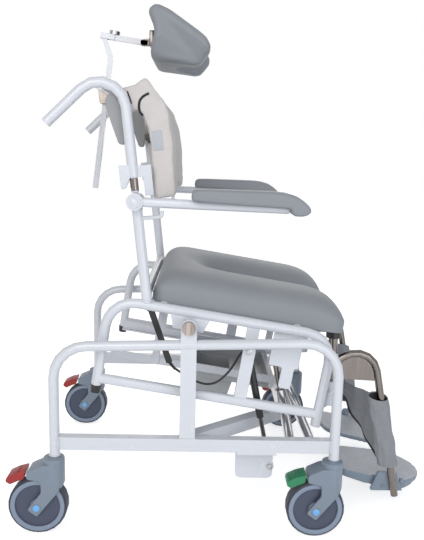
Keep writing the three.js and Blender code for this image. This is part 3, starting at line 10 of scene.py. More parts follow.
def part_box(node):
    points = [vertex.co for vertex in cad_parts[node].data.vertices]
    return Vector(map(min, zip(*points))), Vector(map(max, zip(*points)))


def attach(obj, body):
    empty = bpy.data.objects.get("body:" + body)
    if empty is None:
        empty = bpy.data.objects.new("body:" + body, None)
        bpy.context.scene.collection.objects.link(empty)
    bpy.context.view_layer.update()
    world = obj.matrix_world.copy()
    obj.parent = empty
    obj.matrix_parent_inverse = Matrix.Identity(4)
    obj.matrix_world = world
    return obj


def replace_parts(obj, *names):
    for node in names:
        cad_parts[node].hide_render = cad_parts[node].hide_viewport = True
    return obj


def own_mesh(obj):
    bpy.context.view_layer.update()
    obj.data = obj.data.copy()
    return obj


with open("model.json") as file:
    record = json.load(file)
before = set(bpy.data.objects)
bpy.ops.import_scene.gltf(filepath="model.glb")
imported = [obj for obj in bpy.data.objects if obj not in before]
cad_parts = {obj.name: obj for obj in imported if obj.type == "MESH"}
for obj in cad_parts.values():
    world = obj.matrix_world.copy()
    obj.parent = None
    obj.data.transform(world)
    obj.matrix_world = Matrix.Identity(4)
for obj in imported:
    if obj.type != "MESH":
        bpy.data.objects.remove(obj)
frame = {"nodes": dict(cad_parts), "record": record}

bl_info = {
    "name": "Tilting shower commode wheelchair",
    "version": (1, 0, 0),
    "blender": (4, 5, 0),
    "location": "3D View > Sidebar > Wheelchair",
    "description": "Soft goods, fittings and finishes for a tilting shower commode wheelchair",
    "category": "Object",
}

NODES = frame["nodes"]
RIGHT, LEFT = -1, 1
SIDES = ((RIGHT, "right"), (LEFT, "left"))


def turned(angle, axis):
    """A turn by degrees about an axis."""
    return Matrix.Rotation(math.radians(angle), 4, axis)


def axes(x, y, z, drop):
    """Axes at a point, turned about Y so that their X drops by that many degrees."""
    return Matrix.Translation((x, y, z)) @ turned(drop, "Y")


def mm(points):
    """Points given in millimetres, in metres."""
    return [tuple(c / 1000 for c in point) for point in points]


# Axes of the seat, the back and the headrest, and the places that several pieces share.
PIVOT_X = -0.084047
SEAT = axes(PIVOT_X, 0, 0.4585, 8.9)
BACK = axes(-0.173435, 0, 0.492033, -6.4)
HEAD = axes(-0.1729, 0, 1.073689, 0)
POST_Y = 0.245
ARM_X, ARM_Z = -0.197958, 0.710662
SPRING_HEAD = Vector((0.042953, -0.214, 0.395))
HANGER_X, HANGER_Y, HANGER_Z = 0.233953, 0.2, 0.262
CASTER_X = {"rear": -0.364047, "front": 0.229953}
CASTERS = [(end, name, side) for end in CASTER_X for side, name in SIDES]
TRACK_HALF = 0.29
TRAIL = 0.036
AXLE_Z = 0.0625
FLAT = turned(90, "X")
# Radii of the tubes that welds run round.
FRAME_TUBE, CROSS_TUBE, HANGER_TUBE = 0.0112, 0.0102, 0.0088
# Edges that turn by fewer degrees than these are shaded smooth.
SMOOTH_ANGLE, SOFT_ANGLE, CRISP_ANGLE, BOLT_ANGLE = 38, 50, 32, 30


def clamp(value):
    """A value held between 0 and 1."""
    return min(max(value, 0.0), 1.0)


# Sizes and colours that a user would change.


def length_value(name, description, default):
    """A property that holds a length in metres."""
    return FloatProperty(name=name, description=description, default=default, unit="LENGTH")


def colour_value(name, description, default):
    """A property that holds a colour."""
    return FloatVectorProperty(name=name, description=description, default=default, subtype="COLOR")


class ChairSizes(bpy.types.PropertyGroup):
    cover_pressure: FloatProperty(
        name="Cover pressure",
        description="How hard the filling pushes the back cover's cloth out",
        default=3.0,
    )
    cover_limit: length_value(
        "Cover swell limit", "Furthest that the back cover's cloth may move from its cut shape", 0.006
    )
    binding_width: length_value("Binding width", "Width of the black tape that edges the cloth", 0.0032)
    cable_diameter: length_value("Cable diameter", "Outside diameter of the cable's sheath", 0.005)
    weld_radius: length_value("Weld bead radius", "Half the width of the weld beads", 0.0016)


class ChairColours(bpy.types.PropertyGroup):
    paint: colour_value("Frame paint", "Powder coat of the tubes", (0.63, 0.65, 0.7))
    pad: colour_value("Pad skin", "Skin of the seat, arm and head pads", (0.235, 0.25, 0.272))
    cover: colour_value("Back cover", "Cloth of the back cover", (0.6, 0.565, 0.55))
    strap: colour_value("Calf strap", "Coated cloth of the calf strap", (0.265, 0.275, 0.295))
    fork: colour_value("Caster moulding", "Caster forks and footplate brackets", (0.2, 0.243, 0.3))
    disc: colour_value("Wheel disc", "Plastic of the wheel discs", (0.055, 0.066, 0.105))
    tyre: colour_value("Tyre", "Rubber of the tyres", (0.042, 0.048, 0.07))
    plate: colour_value("Footplates", "Plastic of the footplates", (0.46, 0.485, 0.53))
    pan: colour_value("Pan", "Plastic of the commode pan", (0.4, 0.41, 0.42))
    hub: colour_value("Axle dots", "Plugs in the ends of the caster axles", (0.14, 0.42, 0.82))
    stop: colour_value("Brake pedals", "Three of the brake pedals", (0.32, 0.012, 0.009))
    lock: colour_value("Direction lock pedal", "The front right pedal", (0.014, 0.2, 0.085))


def sizes():
    return bpy.context.scene.chair_sizes


def colour(name):
    return tuple(getattr(bpy.context.scene.chair_colours, name))


# Shader node groups: each effect is built once and placed in the materials with its own values.


class Graph:
    """A node tree that is being laid out."""

    def __init__(self, tree):
        self.tree = tree

    def add(self, kind, **values):
        node = self.tree.nodes.new("ShaderNode" + kind)
        for key, value in values.items():
            setattr(node, key, value)
        return node

    def put(self, socket, value):
        """Join an output to a socket, or set the socket to a constant."""
        if isinstance(value, bpy.types.NodeSocket):
            self.tree.links.new(value, socket)
        elif socket.type == "RGBA":
            socket.default_value = (*value, 1)
        else:
            socket.default_value = value

    def feed(self, node, values):
        """Put values into a node's sockets, which are given by name or number."""
        for key, value in values.items():
            self.put(node.inputs[key], value)
        return node.outputs

    def maths(self, operation, *values, clamp=False):
        node = self.add("Math", operation=operation, use_clamp=clamp)
        return self.feed(node, dict(enumerate(values)))[0]

    def times(self, first, second, clamp=False):
        return self.maths("MULTIPLY", first, second, clamp=clamp)

    def plus(self, first, second, clamp=False):
        return self.maths("ADD", first, second, clamp=clamp)

    def minus(self, first, second):
        return self.maths("SUBTRACT", first, second)

    def scaled(self, vector, factor):
        return self.feed(self.add("VectorMath", operation="SCALE"), {0: vector, "Scale": factor})[0]

    def stretched(self, vector, factors):
        return self.feed(self.add("VectorMath", operation="MULTIPLY"), {0: vector, 1: factors})[0]

    def mixed(self, factor, first, second):
        return self.feed(self.add("Mix", data_type="RGBA"), {0: factor, 6: first, 7: second})[2]

    def noise(self, vector, scale, detail, rough=0.55):
        values = {"Vector": vector, "Scale": scale, "Detail": detail, "Roughness": rough}
        return self.feed(self.add("TexNoise"), values)["Fac"]

    def span(self, value, low, high, to_low=0.0, to_high=1.0):
        """Map a range of a value to another range."""
        values = {"Value": value, "From Min": low, "From Max": high, "To Min": to_low, "To Max": to_high}
        return self.feed(self.add("MapRange"), values)[0]

    def upward(self, low, high):
        """How far a face looks up: 0 where its normal's height is low, 1 where it is high."""
        split = self.feed(self.add("SeparateXYZ"), {0: self.add("NewGeometry").outputs["Normal"]})
        return self.span(split["Z"], low, high)

    def bump(self, height, strength, reach, normal):
        values = {"Height": height, "Strength": strength, "Distance": reach, "Normal": normal}
        return self.feed(self.add("Bump"), values)[0]


SOCKET_KINDS = {"Vector": "Vector", "Normal": "Vector", "Stretch": "Vector", "Colour": "Color"}


def effect(name, outputs, **inputs):
    """A new node group that starts from a place, and the graph, inputs and outputs to lay it out."""
    tree = bpy.data.node_groups.new(name, "ShaderNodeTree")
    rows = [("INPUT", title, default) for title, default in {"Vector": None, **inputs}.items()]
    rows += [("OUTPUT", title, None) for title in outputs]
    for way, title, default in rows:
        kind = "NodeSocket" + SOCKET_KINDS.get(title, "Float")
        socket = tree.interface.new_socket(title, in_out=way, socket_type=kind)
        if default is not None:
            socket.default_value = default
    entry = tree.nodes.new("NodeGroupInput").outputs
    result = tree.nodes.new("NodeGroupOutput").inputs
    return Graph(tree), entry, result


def build_tone_drift():
    values = {"Colour": (0.5, 0.5, 0.5, 1), "Scale": 12.0, "Amount": 0.06, "Roughness": 0.4, "Spread": 0.1}
    graph, entry, result = effect("tone_drift", ("Colour", "Roughness"), **values)
    broad = graph.noise(entry["Vector"], entry["Scale"], 4.0)
    swing = graph.times(graph.minus(broad, 0.5), graph.times(entry["Amount"], 2.0))
    graph.put(result["Colour"], graph.scaled(entry["Colour"], graph.plus(swing, 1.0)))
    close = graph.noise(entry["Vector"], graph.times(entry["Scale"], 3.3), 5.0)
    drift = graph.times(graph.minus(close, 0.5), entry["Spread"])
    graph.put(result["Roughness"], graph.plus(entry["Roughness"], drift, clamp=True))


def build_fine_grain():
    values = {"Scale": 400.0, "Depth": 0.2, "Reach": 0.0004, "Normal": None}
    graph, entry, result = effect("fine_grain", ("Normal",), **values)
    height = graph.noise(entry["Vector"], entry["Scale"], 2.0, 0.5)
    graph.put(result["Normal"], graph.bump(height, entry["Depth"], entry["Reach"], entry["Normal"]))


def build_soft_edges():
    graph, entry, result = effect("soft_edges", ("Normal", "Wear"), Radius=0.0008)
    rounded = graph.feed(graph.add("Bevel", samples=4), {"Radius": entry["Radius"]})[0]
    graph.put(result["Normal"], rounded)
    flat = graph.add("NewGeometry").outputs["Normal"]
    facing = graph.feed(graph.add("VectorMath", operation="DOT_PRODUCT"), {0: rounded, 1: flat})["Value"]
    edge = graph.span(facing, 0.97, 0.82)
    patch = graph.span(graph.noise(entry["Vector"], 60.0, 4.0), 0.5, 0.66)
    graph.put(result["Wear"], graph.times(edge, patch, clamp=True))


def build_scuffs():
    graph, entry, result = effect("scuffs", ("Mask",), Stretch=(20.0, 20.0, 160.0), Cover=0.66)
    marks = graph.noise(graph.stretched(entry["Vector"], entry["Stretch"]), 1.0, 5.0, 0.6)
    sharp = graph.span(marks, entry["Cover"], graph.plus(entry["Cover"], 0.06))
    zone = graph.span(graph.noise(entry["Vector"], 9.0, 2.0), 0.45, 0.6)
    graph.put(result["Mask"], graph.times(sharp, zone, clamp=True))


def build_streaks():
    graph, entry, result = effect("streaks", ("Value",), Stretch=(600.0, 600.0, 14.0))
    pulled = graph.stretched(entry["Vector"], entry["Stretch"])
    graph.put(result["Value"], graph.noise(pulled, 1.0, 3.0, 0.6))


def build_settled_dust():
    graph, entry, result = effect("settled_dust", ("Mask",), Amount=0.2)
    cloud = graph.span(graph.noise(entry["Vector"], 30.0, 6.0), 0.38, 0.7)
    settled = graph.times(graph.upward(0.55, 0.95), cloud)
    graph.put(result["Mask"], graph.times(settled, entry["Amount"], clamp=True))


def build_weave():
    graph, entry, result = effect("weave", ("Height", "Shade"), Threads=900.0, Slub=0.35)
    split = graph.feed(graph.add("SeparateXYZ"), {0: entry["Vector"]})
    turns = [graph.times(graph.times(split[axis], entry["Threads"]), math.pi) for axis in (0, 1)]
    waves = [graph.maths("SINE", turn) for turn in turns]
    warp, weft = (graph.maths("ABSOLUTE", wave) for wave in waves)
    pick = graph.maths("GREATER_THAN", graph.times(*waves), 0.0)
    height = graph.plus(graph.times(warp, pick), graph.times(weft, graph.minus(1.0, pick)))
    graph.put(result["Height"], height)
    slub = graph.noise(entry["Vector"], 70.0, 5.0, 0.65)
    shade = graph.times(graph.minus(slub, 0.5), entry["Slub"])
    # Painted shade: darker where the weave is low, between the threads.
    thread_gap_shade = graph.times(graph.minus(height, 0.8), 0.12)
    graph.put(result["Shade"], graph.plus(graph.plus(shade, thread_gap_shade), 1.0))


EFFECTS = (
    build_tone_drift,
    build_fine_grain,
    build_soft_edges,
    build_scuffs,
    build_streaks,
    build_settled_dust,
    build_weave,
)


# Materials.


class Finish:
    """A material that is being laid out around one Principled BSDF."""

    def __init__(self, name, metallic=0.0, coat=0.0, sheen=0.0, specular=0.5):
        self.material = bpy.data.materials.new(name)
        self.material.use_nodes = True
        self.graph = Graph(self.material.node_tree)
        self.shader = self.material.node_tree.nodes["Principled BSDF"]
        values = {
            "Metallic": metallic,
            "Coat Weight": coat,
            "Coat Roughness": 0.12,
            "Sheen Weight": sheen,
            "Sheen Roughness": 0.6,
            "Specular IOR Level": specular,
        }
        self.graph.feed(self.shader, values)
        self.places = self.graph.add("TexCoord").outputs

    def use(self, name, place="Object", **values):
        """Place a node group, joined to the object's or the cloth's own coordinates."""
        node = self.graph.add("Group")
        node.node_tree = bpy.data.node_groups[name]
        return self.graph.feed(node, {"Vector": self.places[place], **values})

    def close(self, base, rough, normal):
        self.graph.feed(self.shader, {"Base Color": base, "Roughness": rough, "Normal": normal})
        return self.material


def shade(tint, factor):
    """A colour made darker or paler."""
    return tuple(c * factor for c in tint)


def paint_finish(name, tint):
    """Powder coat: orange peel, softened edges, faint scuffs and dust."""
    finish = Finish(name, coat=0.35)
    graph = finish.graph
    tone = finish.use("tone_drift", Colour=tint, Scale=7.0, Amount=0.025, Roughness=0.26, Spread=0.12)
    edges = finish.use("soft_edges", Radius=0.0011)
    scuffs = finish.use("scuffs", Stretch=(24.0, 24.0, 90.0), Cover=0.67)["Mask"]
    dust = finish.use("settled_dust", Amount=0.12)["Mask"]
    worn = graph.mixed(graph.times(edges["Wear"], 0.4), tone["Colour"], shade(tint, 0.82))
    marked = graph.mixed(graph.times(scuffs, 0.22), worn, shade(tint, 0.86))
    dusty = graph.mixed(dust, marked, (0.6, 0.58, 0.55))
    coarse = graph.plus(tone["Roughness"], graph.times(scuffs, 0.15), clamp=True)
    grain = finish.use("fine_grain", Scale=260.0, Depth=0.03, Reach=0.0003, Normal=edges["Normal"])
    return finish.close(dusty, coarse, grain["Normal"])


def plastic_finish(name, tint, rough, grain=700.0, depth=0.12, wear=0.55, dust=0.18, coat=0.0):
    """Moulded plastic: fine spark texture, dulled edges, dust on top."""
    finish = Finish(name, coat=coat)
    graph = finish.graph
    tone = finish.use("tone_drift", Colour=tint, Scale=16.0, Amount=0.06, Roughness=rough, Spread=0.16)
    edges = finish.use("soft_edges", Radius=0.0009)
    scuffs = finish.use("scuffs", Stretch=(60.0, 60.0, 60.0), Cover=0.68)["Mask"]
    settled = finish.use("settled_dust", Amount=dust)["Mask"]
    pale = tuple(min(c * 1.25 + 0.03, 1.0) for c in tint)
    edged = graph.mixed(graph.times(edges["Wear"], wear), tone["Colour"], pale)
    marked = graph.mixed(graph.times(scuffs, 0.5), edged, pale)
    dusty = graph.mixed(settled, marked, (0.42, 0.41, 0.4))
    coarse = graph.plus(tone["Roughness"], graph.times(settled, 0.6), clamp=True)
    rounded = edges["Normal"]
    texture = finish.use("fine_grain", Scale=grain, Depth=depth, Reach=0.0003, Normal=rounded)
    return finish.close(dusty, coarse, texture["Normal"])


def metal_finish(name, tint, rough, stretch, contrast):
    """Polished or brushed metal with streaks along the work; where the streaks are broad and strong they are
    painted highlight and shade bands.
    """
    finish = Finish(name, metallic=1.0)
    graph = finish.graph
    tone = finish.use("tone_drift", Colour=tint, Scale=20.0, Amount=0.06, Roughness=rough, Spread=0.1)
    edges = finish.use("soft_edges", Radius=0.0007)
    lines = finish.use("streaks", Stretch=stretch)["Value"]
    scuffs = finish.use("scuffs", Stretch=(90.0, 90.0, 90.0), Cover=0.66)["Mask"]
    shaded = graph.scaled(tone["Colour"], graph.span(lines, 0.3, 0.7, 1.0 - contrast, 1.0))
    dulled = graph.mixed(graph.times(scuffs, 0.4), shaded, tint)
    coarse = graph.plus(tone["Roughness"], graph.times(graph.minus(lines, 0.5), 0.12), clamp=True)
    return finish.close(dulled, coarse, graph.bump(lines, 0.06, 0.0003, edges["Normal"]))


def skin_finish(name, tint):
    """Skinned foam: matt, smooth, with a fine pore texture and a faint rubbed sheen."""
    finish = Finish(name, sheen=0.06, specular=0.4)
    graph = finish.graph
    tone = finish.use("tone_drift", Colour=tint, Scale=9.0, Amount=0.035, Roughness=0.52, Spread=0.12)
    rubbed = graph.times(finish.use("scuffs", Stretch=(12.0, 30.0, 12.0), Cover=0.62)["Mask"], 0.12)
    dust = finish.use("settled_dust", Amount=0.08)["Mask"]
    worn = graph.mixed(rubbed, tone["Colour"], shade(tint, 1.2))
    dusty = graph.mixed(dust, worn, (0.5, 0.48, 0.45))
    grain = finish.use("fine_grain", Scale=950.0, Depth=0.22, Reach=0.0003)
    return finish.close(dusty, graph.minus(tone["Roughness"], rubbed), grain["Normal"])


def cloth_finish(name, tint, threads, rough=0.82, sheen=0.18, reach=0.0004, place="Object", slub=0.25):
    """Woven cloth with slubs, painted shade between the threads, soft creases and a little handling dirt."""
    finish = Finish(name, sheen=sheen, specular=0.25)
    graph = finish.graph
    tone = finish.use("tone_drift", Colour=tint, Scale=14.0, Amount=0.07, Roughness=rough, Spread=0.1)
    weave = finish.use("weave", place, Threads=threads, Slub=slub)
    shaded = graph.scaled(tone["Colour"], weave["Shade"])
    rubbed = finish.use("scuffs", Stretch=(30.0, 30.0, 12.0), Cover=0.6)["Mask"]
    soiled = graph.mixed(graph.times(rubbed, 0.16), shaded, shade(tint, 0.72))
    creases = finish.use("fine_grain", Scale=45.0, Depth=0.35, Reach=0.002)["Normal"]
    return finish.close(soiled, tone["Roughness"], graph.bump(weave["Height"], 0.5, reach, creases))


def plate_finish(name, tint):
    """Footplate: pale lines of painted highlight along the foot on top, where the moulded ridges catch light,
    and painted shade on the sides.
    """
    finish = Finish(name)
    graph = finish.graph
    tone = finish.use("tone_drift", Colour=tint, Scale=14.0, Amount=0.05, Roughness=0.42, Spread=0.18)
    edges = finish.use("soft_edges", Radius=0.0016)
    scuffs = finish.use("scuffs", Stretch=(20.0, 150.0, 60.0), Cover=0.6)["Mask"]
    streaks = finish.use("streaks", Stretch=(10.0, 420.0, 420.0))["Value"]
    dust = finish.use("settled_dust", Amount=0.3)["Mask"]
    # Painted highlight: pale lines along the foot stand in for the lit tops of the moulded ridges.
    ridge_highlighted = graph.mixed(graph.span(streaks, 0.5, 0.72, 0.0, 0.6), tone["Colour"], (0.72, 0.74, 0.78))
    marked = graph.mixed(graph.times(scuffs, 0.55), ridge_highlighted, shade(tint, 0.62))
    # Painted shade: faces that look sideways or down take a darker copy of the tint.
    shadow = tuple(c * share for c, share in zip(tint, (0.42, 0.5, 0.56)))
    side_shaded = graph.mixed(graph.upward(0.35, 0.85), shadow, marked)
    dusty = graph.mixed(dust, side_shaded, (0.36, 0.35, 0.34))
    grain = finish.use("fine_grain", Scale=380.0, Depth=0.3, Reach=0.0004, Normal=edges["Normal"])
    return finish.close(dusty, tone["Roughness"], grain["Normal"])


# Each material's function, its colour (a property's name, or a fixed one) and its other values.
PEDAL = dict(rough=0.34, grain=300.0, depth=0.06, wear=0.12, dust=0.02, coat=0.1)
COVER_CLOTH = dict(threads=900.0, reach=0.0002)
FINISHES = {
    "frame_paint": (paint_finish, "paint", {}),
    "caster_plastic": (plastic_finish, "fork", dict(rough=0.36, dust=0.12)),
    "wheel_disc": (plastic_finish, "disc", dict(rough=0.45)),
    "tyre": (plastic_finish, "tyre", dict(rough=0.62, grain=420.0, depth=0.3, wear=0.8, dust=0.4)),
    "pedal_red": (plastic_finish, "stop", PEDAL),
    "pedal_green": (plastic_finish, "lock", PEDAL),
    "pad_skin": (skin_finish, "pad", {}),
    "black_plastic": (plastic_finish, (0.012, 0.012, 0.014), dict(rough=0.4, wear=0.3, dust=0.1)),
    "grey_plastic": (plate_finish, "plate", {}),
    "pan_plastic": (
        plastic_finish,
        "pan",
        dict(rough=0.3, grain=200.0, depth=0.05, wear=0.3, dust=0.15, coat=0.2),
    ),
    "stainless": (
        metal_finish,
        (0.225, 0.2, 0.185),
        dict(rough=0.22, stretch=(700.0, 700.0, 9.0), contrast=0.3),
    ),
    "polished_cylinder": (
        metal_finish,
        (0.62, 0.61, 0.62),
        dict(rough=0.16, stretch=(900.0, 900.0, 6.0), contrast=0.08),
    ),
    # Painted highlight: broad, strong streaks give the caps and sleeves bright and dark reflection bands.
    "cap_metal": (metal_finish, (0.42, 0.36, 0.33), dict(rough=0.2, stretch=(90.0, 1.0, 9.0), contrast=0.7)),
    "zinc": (metal_finish, (0.5, 0.5, 0.52), dict(rough=0.34, stretch=(200.0, 200.0, 200.0), contrast=0.2)),
    "cover_fabric": (cloth_finish, "cover", dict(COVER_CLOTH, slub=0.12)),
    "cover_band": (cloth_finish, (0.47, 0.49, 0.53), dict(COVER_CLOTH, slub=0.1)),
    # Painted shade: a darker grey copy of the cover cloth, for the flaps laid over the wings' rear.
    "cover_flap": (cloth_finish, (0.33, 0.335, 0.345), dict(COVER_CLOTH, slub=0.1)),
    "strap_fabric": (cloth_finish, "strap", dict(threads=520.0, rough=0.7, sheen=0.1, place="UV")),
    "binding": (cloth_finish, (0.014, 0.014, 0.017), dict(threads=1400.0, rough=0.75, sheen=0.2)),
    "hub_plug": (plastic_finish, "hub", dict(rough=0.3, dust=0.02, wear=0.1, coat=0.3)),
    "wheel_ring": (plastic_finish, (0.22, 0.27, 0.36), dict(rough=0.4)),
}
# Pieces of the frame that wear another material than their record says.
EXCEPTIONS = {
    "tilt_pin_right": "cap_metal",
    "tilt_pin_left": "cap_metal",
    "headrest_clamp": "stainless",
    "headrest_knob": "zinc",
}
MATERIALS = {}


class WHEELCHAIR_OT_finishes(bpy.types.Operator):
    """Build the node groups and materials and dress the frame's own pieces."""

    bl_idname = "wheelchair.finishes"
    bl_label = "Finishes"

    def execute(self, context):
        for build in EFFECTS:
            build()
        for name, (build, tint, values) in FINISHES.items():
            MATERIALS[name] = build(name, colour(tint) if isinstance(tint, str) else tint, **values)
        chosen = {subpart["node"]: subpart["material_slot"] for subpart in frame["record"]["subparts"]}
        chosen.update(EXCEPTIONS)
        rounding = smooth_shading()
        for name, node in NODES.items():
            node.data.materials.clear()
            node.data.materials.append(MATERIALS[chosen[name]])
            node.modifiers.new("smooth shading", "NODES").node_group = rounding
        return {"FINISHED"}


def smooth_shading():
    """Geometry nodes that weld the loose triangles, then shade them smooth across shallow edges."""
    tree = bpy.data.node_groups.new("smooth_shading", "GeometryNodeTree")
    tree.interface.new_socket("Geometry", in_out="INPUT", socket_type="NodeSocketGeometry")
    tree.interface.new_socket("Geometry", in_out="OUTPUT", socket_type="NodeSocketGeometry")
    make = tree.nodes.new
    entry, result = make("NodeGroupInput"), make("NodeGroupOutput")
    weld = make("GeometryNodeMergeByDistance")
    weld.inputs["Distance"].default_value = 1e-5
    plain = make("GeometryNodeRemoveAttribute")
    plain.inputs["Name"].default_value = "custom_normal"
    faces = make("GeometryNodeSetShadeSmooth")
    faces.domain = "FACE"
    faces.inputs["Shade Smooth"].default_value = True
    angle = make("GeometryNodeInputMeshEdgeAngle")
    steep = make("FunctionNodeCompare")
    steep.operation = "GREATER_THAN"
    steep.inputs[1].default_value = math.radians(SMOOTH_ANGLE)
    edges = make("GeometryNodeSetShadeSmooth")
    edges.domain = "EDGE"
    edges.inputs["Shade Smooth"].default_value = False
    join = tree.links.new
    join(entry.outputs[0], weld.inputs["Geometry"])
    join(weld.outputs["Geometry"], plain.inputs["Geometry"])
    join(plain.outputs["Geometry"], faces.inputs[0])
    join(faces.outputs[0], edges.inputs[0])
    join(angle.outputs["Unsigned Angle"], steep.inputs[0])
    join(steep.outputs[0], edges.inputs["Selection"])
    join(edges.outputs[0], result.inputs[0])
    return tree


# Making pieces.


def piece(name, body, finish):
    """An empty mesh object that rides on a body."""
    mesh = bpy.data.meshes.new(name)
    made = bpy.data.objects.new(name, mesh)
    bpy.context.scene.collection.objects.link(made)
    mesh.materials.append(MATERIALS[finish])
    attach(made, body)
    return made


def fill(made, shape, smooth_angle=SMOOTH_ANGLE):
    """Put a bmesh into a piece, shaded smooth up to an angle."""
    bmesh.ops.remove_doubles(shape, verts=shape.verts, dist=1e-6)
    bmesh.ops.recalc_face_normals(shape, faces=shape.faces)
    limit = math.radians(smooth_angle)
    for face in shape.faces:
        face.smooth = True
    for edge in shape.edges:
        edge.smooth = len(edge.link_faces) != 2 or edge.calc_face_angle(0) < limit
    shape.to_mesh(made.data)
    shape.free()
    return made


def bevel(shape, geom, offset, segments, affect="EDGES"):
    """Round edges, or corners with affect VERTICES."""
    bmesh.ops.bevel(
        shape,
        geom=geom,
        offset=offset,
        segments=segments,
        profile=0.5,
        affect=affect,
        material=-1,
        clamp_overlap=True,
    )


def extrude(shape, faces, move=(0, 0, 0)):
    """Close faces into a solid with a moved copy of themselves, and give back the copy's corners."""
    made = bmesh.ops.extrude_face_region(shape, geom=faces, use_keep_orig=True)
    moved = [item for item in made["geom"] if isinstance(item, bmesh.types.BMVert)]
    bmesh.ops.translate(shape, verts=moved, vec=move)
    return moved


def prism(ring, low, high):
    """A bmesh over an outline of (x, y) points, from one z to another."""
    shape = bmesh.new()
    face = shape.faces.new([shape.verts.new((x, y, low)) for x, y in ring])
    extrude(shape, [face], (0, 0, high - low))
    return shape


def add_plate(shape, outline, low, high, place=Matrix(), corner=0.0, rim=0.0):
    """A plate cut to an outline of (x, z) points, from one y to another, with rounded corners and rims."""
    part = bmesh.new()
    part.faces.new([part.verts.new((x, low, z)) for x, z in outline])
    if corner:
        bevel(part, list(part.verts), corner, 4, "VERTICES")
    extrude(part, list(part.faces), (0, high - low, 0))
    bmesh.ops.recalc_face_normals(part, faces=part.faces)
    if rim:
        rims = [edge for edge in part.edges if abs(edge.verts[0].co.y - edge.verts[1].co.y) < 1e-6]
        bevel(part, rims, rim, 3)
    bmesh.ops.transform(part, matrix=place, verts=part.verts)
    absorb(shape, part)


def add_object(name, data):
    """A new object in the scene."""
    made = bpy.data.objects.new(name, data)
    bpy.context.scene.collection.objects.link(made)
    return made


def carve(shape, cuts):
    """Cut a closed bmesh by others: each cut is an operation and the bmesh that does it."""
    made = add_object("carved", bpy.data.meshes.new("carved"))
    shape.to_mesh(made.data)
    shape.clear()
    tools = []
    for operation, cutter in cuts:
        tool = add_object("cutter", bpy.data.meshes.new("cutter"))
        bmesh.ops.recalc_face_normals(cutter, faces=cutter.faces)
        cutter.to_mesh(tool.data)
        cutter.free()
        modifier = made.modifiers.new("cut", "BOOLEAN")
        modifier.operation = operation
        modifier.object = tool
        modifier.solver = "EXACT"
        tools.append(tool)
    settle(made)
    shape.from_mesh(made.data)
    for used in (made, *tools):
        mesh = used.data
        bpy.data.objects.remove(used)
        bpy.data.meshes.remove(mesh)
    return shape


def along(direction, at):
    """Axes at a point whose Z runs along a direction."""
    return Matrix.Translation(at) @ Vector(direction).to_track_quat("Z", "Y").to_matrix().to_4x4()


def rod(radius, low, high):
    """The profile of a plain rod."""
    return [(0, low), (radius, low), (radius, high), (0, high)]


def add_turned(shape, profile, place, steps=24):
    """Turn a profile of (radius, height) about the place's Z and add it to the bmesh."""
    start = [shape.verts.new(place @ Vector((radius, 0, height))) for radius, height in profile]
    edges = [shape.edges.new(pair) for pair in zip(start, start[1:])]
    bmesh.ops.spin(
        shape,
        geom=start + edges,
        cent=place.translation,
        axis=place.to_3x3() @ Vector((0, 0, 1)),
        angle=2 * math.pi,
        steps=steps,
        use_merge=True,
    )


def add_block(shape, size, place, rounding):
    """A box with its edges rounded."""
    made = bmesh.ops.create_cube(shape, size=1, matrix=place @ Matrix.Diagonal((*size, 1)))
    bevel(shape, list({edge for vert in made["verts"] for edge in vert.link_edges}), rounding, 2)


def add_bolt(shape, place, radius, height):
    """A washer and a hexagon head with a button on it, which stand on the place's XY plane."""
    washer, thin, sunk = radius * 1.45, height * 0.25, -0.0002
    outline = [(0, sunk), (washer, sunk), (washer, thin * 0.7), (washer * 0.94, thin), (0, thin)]
    add_turned(shape, outline, place, 20)
    top = place @ Matrix.Translation((0, 0, thin + height / 2))
    made = bmesh.ops.create_cone(
        shape, cap_ends=True, segments=6, radius1=radius, radius2=radius, depth=height, matrix=top
    )
    bevel(shape, list({edge for vert in made["verts"] for edge in vert.link_edges}), height * 0.16, 2)
    button = [
        (radius * 0.5, thin + height),
        (radius * 0.46, thin + height * 1.16),
        (0, thin + height * 1.2),
    ]
    add_turned(shape, button, place, 12)


def line_curve(name, points, radius, sides, closed=False):
    """A curve object that gives a line of points a round section."""
    curve = bpy.data.curves.new(name, "CURVE")
    curve.dimensions = "3D"
    curve.bevel_depth = radius
    curve.bevel_resolution = sides
    curve.use_fill_caps = not closed
    spline = curve.splines.new("POLY")
    spline.points.add(len(points) - 1)
    for target, source in zip(spline.points, points):
        target.co = (*source, 1)
    spline.use_cyclic_u = closed
    return add_object(name, curve)


def swept(points, radius, closed=False):
    """A bmesh tube along an open or closed line."""
    holder = line_curve("line", points, radius, 3, closed)
    curve = holder.data
    bpy.context.view_layer.update()
    mesh = bpy.data.meshes.new_from_object(holder.evaluated_get(bpy.context.evaluated_depsgraph_get()))
    shape = bmesh.new()
    shape.from_mesh(mesh)
    bpy.data.objects.remove(holder)
    bpy.data.curves.remove(curve)
    bpy.data.meshes.remove(mesh)
    return shape


def absorb(shape, other):
    """Add another bmesh to this one."""
    mesh = bpy.data.meshes.new("part")
    other.to_mesh(mesh)
    other.free()
    shape.from_mesh(mesh)
    bpy.data.meshes.remove(mesh)


def round_tube(radius):
    """The half-sizes and the corner of a round section, for ring_points."""
    return radius, radius, radius


def ring_points(place, half_x, half_y, corner):
    """Points round a rectangle with rounded corners in the place's XY plane."""
    points = []
    steps = 6
    for quarter, (sx, sy) in enumerate(((1, 1), (-1, 1), (-1, -1), (1, -1))):
        for i in range(steps + 1):
            turn = math.pi / 2 * (quarter + i / steps)
            x = sx * (half_x - corner) + corner * math.cos(turn)
            y = sy * (half_y - corner) + corner * math.sin(turn)
            points.append(place @ Vector((x, y, 0)))
    return points


